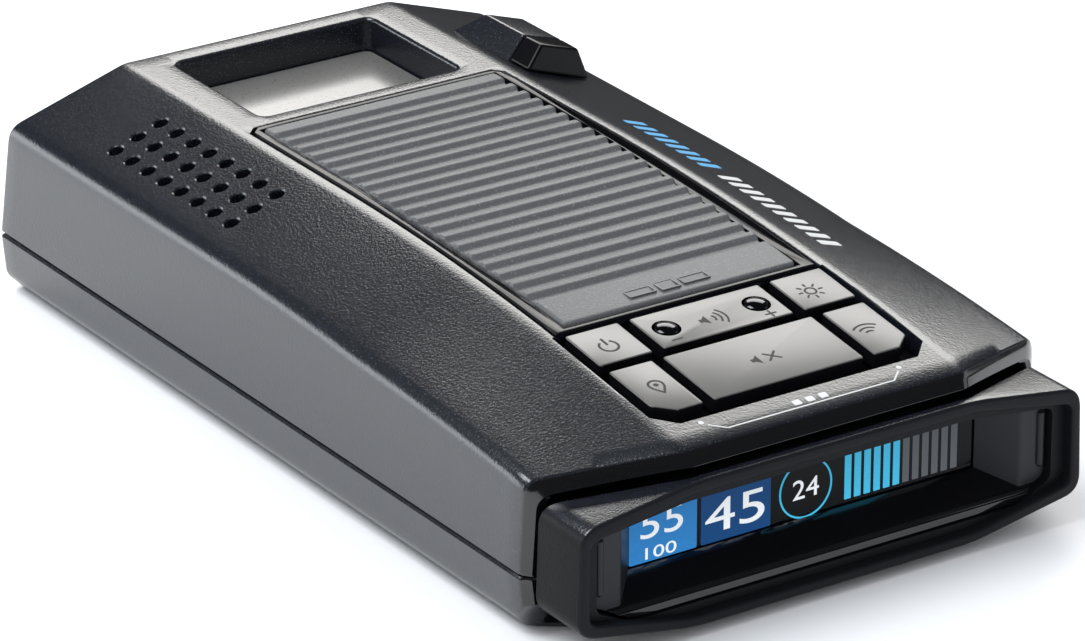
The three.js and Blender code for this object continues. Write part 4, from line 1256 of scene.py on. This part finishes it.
def make_print():
    """Plain tiles on the right flank, and a bracket with three marks behind the keys."""
    for colour, ink, front_y, count in (("cyan", INK_BLUE, 13.4, 8), ("white", INK_WHITE, -7.6, 10)):
        for index in range(count):
            y = front_y - index * TILE_PITCH
            piece = tile(f"flank_tile_{colour}_{index + 1}", 24.3, y - TILE_LENGTH, 27.5, y)
            publish(piece, ink)
    route = [(-14.4, -60.9), (-12.6, -62.4), (11.4, -62.4), (13.1, -60.9)]
    for index, (start, end) in enumerate(zip(route, route[1:])):
        steps = max(1, round(dist(start, end) / 3))
        way = between(start, end, steps) + [end]
        along = (Vector(end) - Vector(start)).normalized() * 0.1
        left = [(x - along.y, y + along.x) for x, y in way]
        right = [(x + along.y, y - along.x) for x, y in way]
        line = printed_on(f"bracket_line_{index + 1}", right + left[::-1])
        publish(line, INK_WHITE)
    for index, (x, y) in enumerate(((-14.9, -60.2), (13.6, -60.3))):
        publish(printed_on(f"bracket_dot_{index + 1}", circle(0.35, 20, x, y)), INK_WHITE)
    for index in range(3):
        x = -2.6 + index * 1.9
        publish(tile(f"bracket_mark_{index + 1}", x, -61.9, x + 1.1, -60.9, 0.2), INK_WHITE)


make_print()


# ---- the CAD nodes that stay ----

ROUNDING = {
    "rear_laser_cap": 0.35, "mount_plate": 0.15, "power_jack": 0.15, "usb_jack": 0.12, "earphone_jack": 0.15,
    "front_window": 0.2, "gps_patch": 0.3, "mount_magnet_left": 0.2, "mount_magnet_right": 0.2,
    "backup_capacitor": 0.3, "horn_antenna": 0.2, "processor_shield": 0.15, "rf_shield": 0.15, "speaker": 0.2,
    "wireless_module": 0.15, "key_mat": 0.12, "display_module": 0.15,
}
NO_ROUNDING = ("gps_lead", "speaker_lead")

for name, node in nodes.items():
    if node.hide_render:
        continue
    for place in node.material_slots:
        place.material = SLOTS[slot_of(place.material)]
    if name not in NO_ROUNDING:
        round_edges(node, ROUNDING.get(name, 0.08), 3)


# ---- extra details ----

def make_contacts():
    """Gold springs inside the power socket, and a tongue in the data socket."""
    first, last = low("power_jack"), high("power_jack")
    middle = (first.y + last.y) / 2
    gold = metal("contact_gold", (0.75, 0.50, 0.18), 0.25)
    for index in range(6):
        y = middle - 2.5 + index
        near, far = (24.9, y - 0.2, first.z + 1.9), (33.5, y + 0.2, first.z + 2.3)
        pin = box(f"power_contact_{index + 1}", near, far)
        publish(pin, gold, bevel=0.06)
    usb_low, usb_high = low("usb_jack"), high("usb_jack")
    tongue = box("usb_tongue", (31.4, -2.6, usb_low.z + 1.2), (35.6, 2.6, usb_high.z - 1.0))
    publish(tongue, SLOTS["jack_plastic"], bevel=0.08)


def make_flags():
    """Dark cards, seen only in reflections, that keep the object's right flank dark."""
    look = Look("flag", (0.01, 0.01, 0.01), 0.9)
    look.vary_roughness(0.05, 0.05)
    near, far, top, level = 0.13, 0.22, 0.09, 0.001
    turns = [radians(4 + 76 * k / 12) for k in range(13)]
    arcs = [[(r * sin(a), r * cos(a), z) for a in turns]
            for r, z in ((near, level), (far, level), (far, top))]
    for name, inner, outer in (("flag_low", arcs[0], arcs[1]), ("flag_back", arcs[1], arcs[2])):
        count = len(turns)
        flag = surface(name, inner + outer, quads(0, count, count, False), look.material)
        flag.visible_camera = flag.visible_diffuse = flag.visible_shadow = False


def make_floor():
    """A plain pale floor with a soft, fading rim."""
    steps, levels = 96, ((0.0005, 0.0), (0.3, 0.0), (0.7, 0.0), (0.72, -0.0015), (0.73, -0.006))
    points = [(x, y, height) for radius, height in levels for x, y in circle(radius, steps)]
    faces = [tuple(range(steps))]
    for base in range(0, len(points) - steps, steps):
        faces += quads(base + steps, base, steps)
    look = Look("floor", (0.86, 0.87, 0.88), 0.7)
    look.vary_roughness(0.02, 0.05)
    look.bump(look.noise(0.6, 2.0), 0.004)
    surface("floor", points, faces, look.material)


make_contacts()
make_flags()
make_floor()
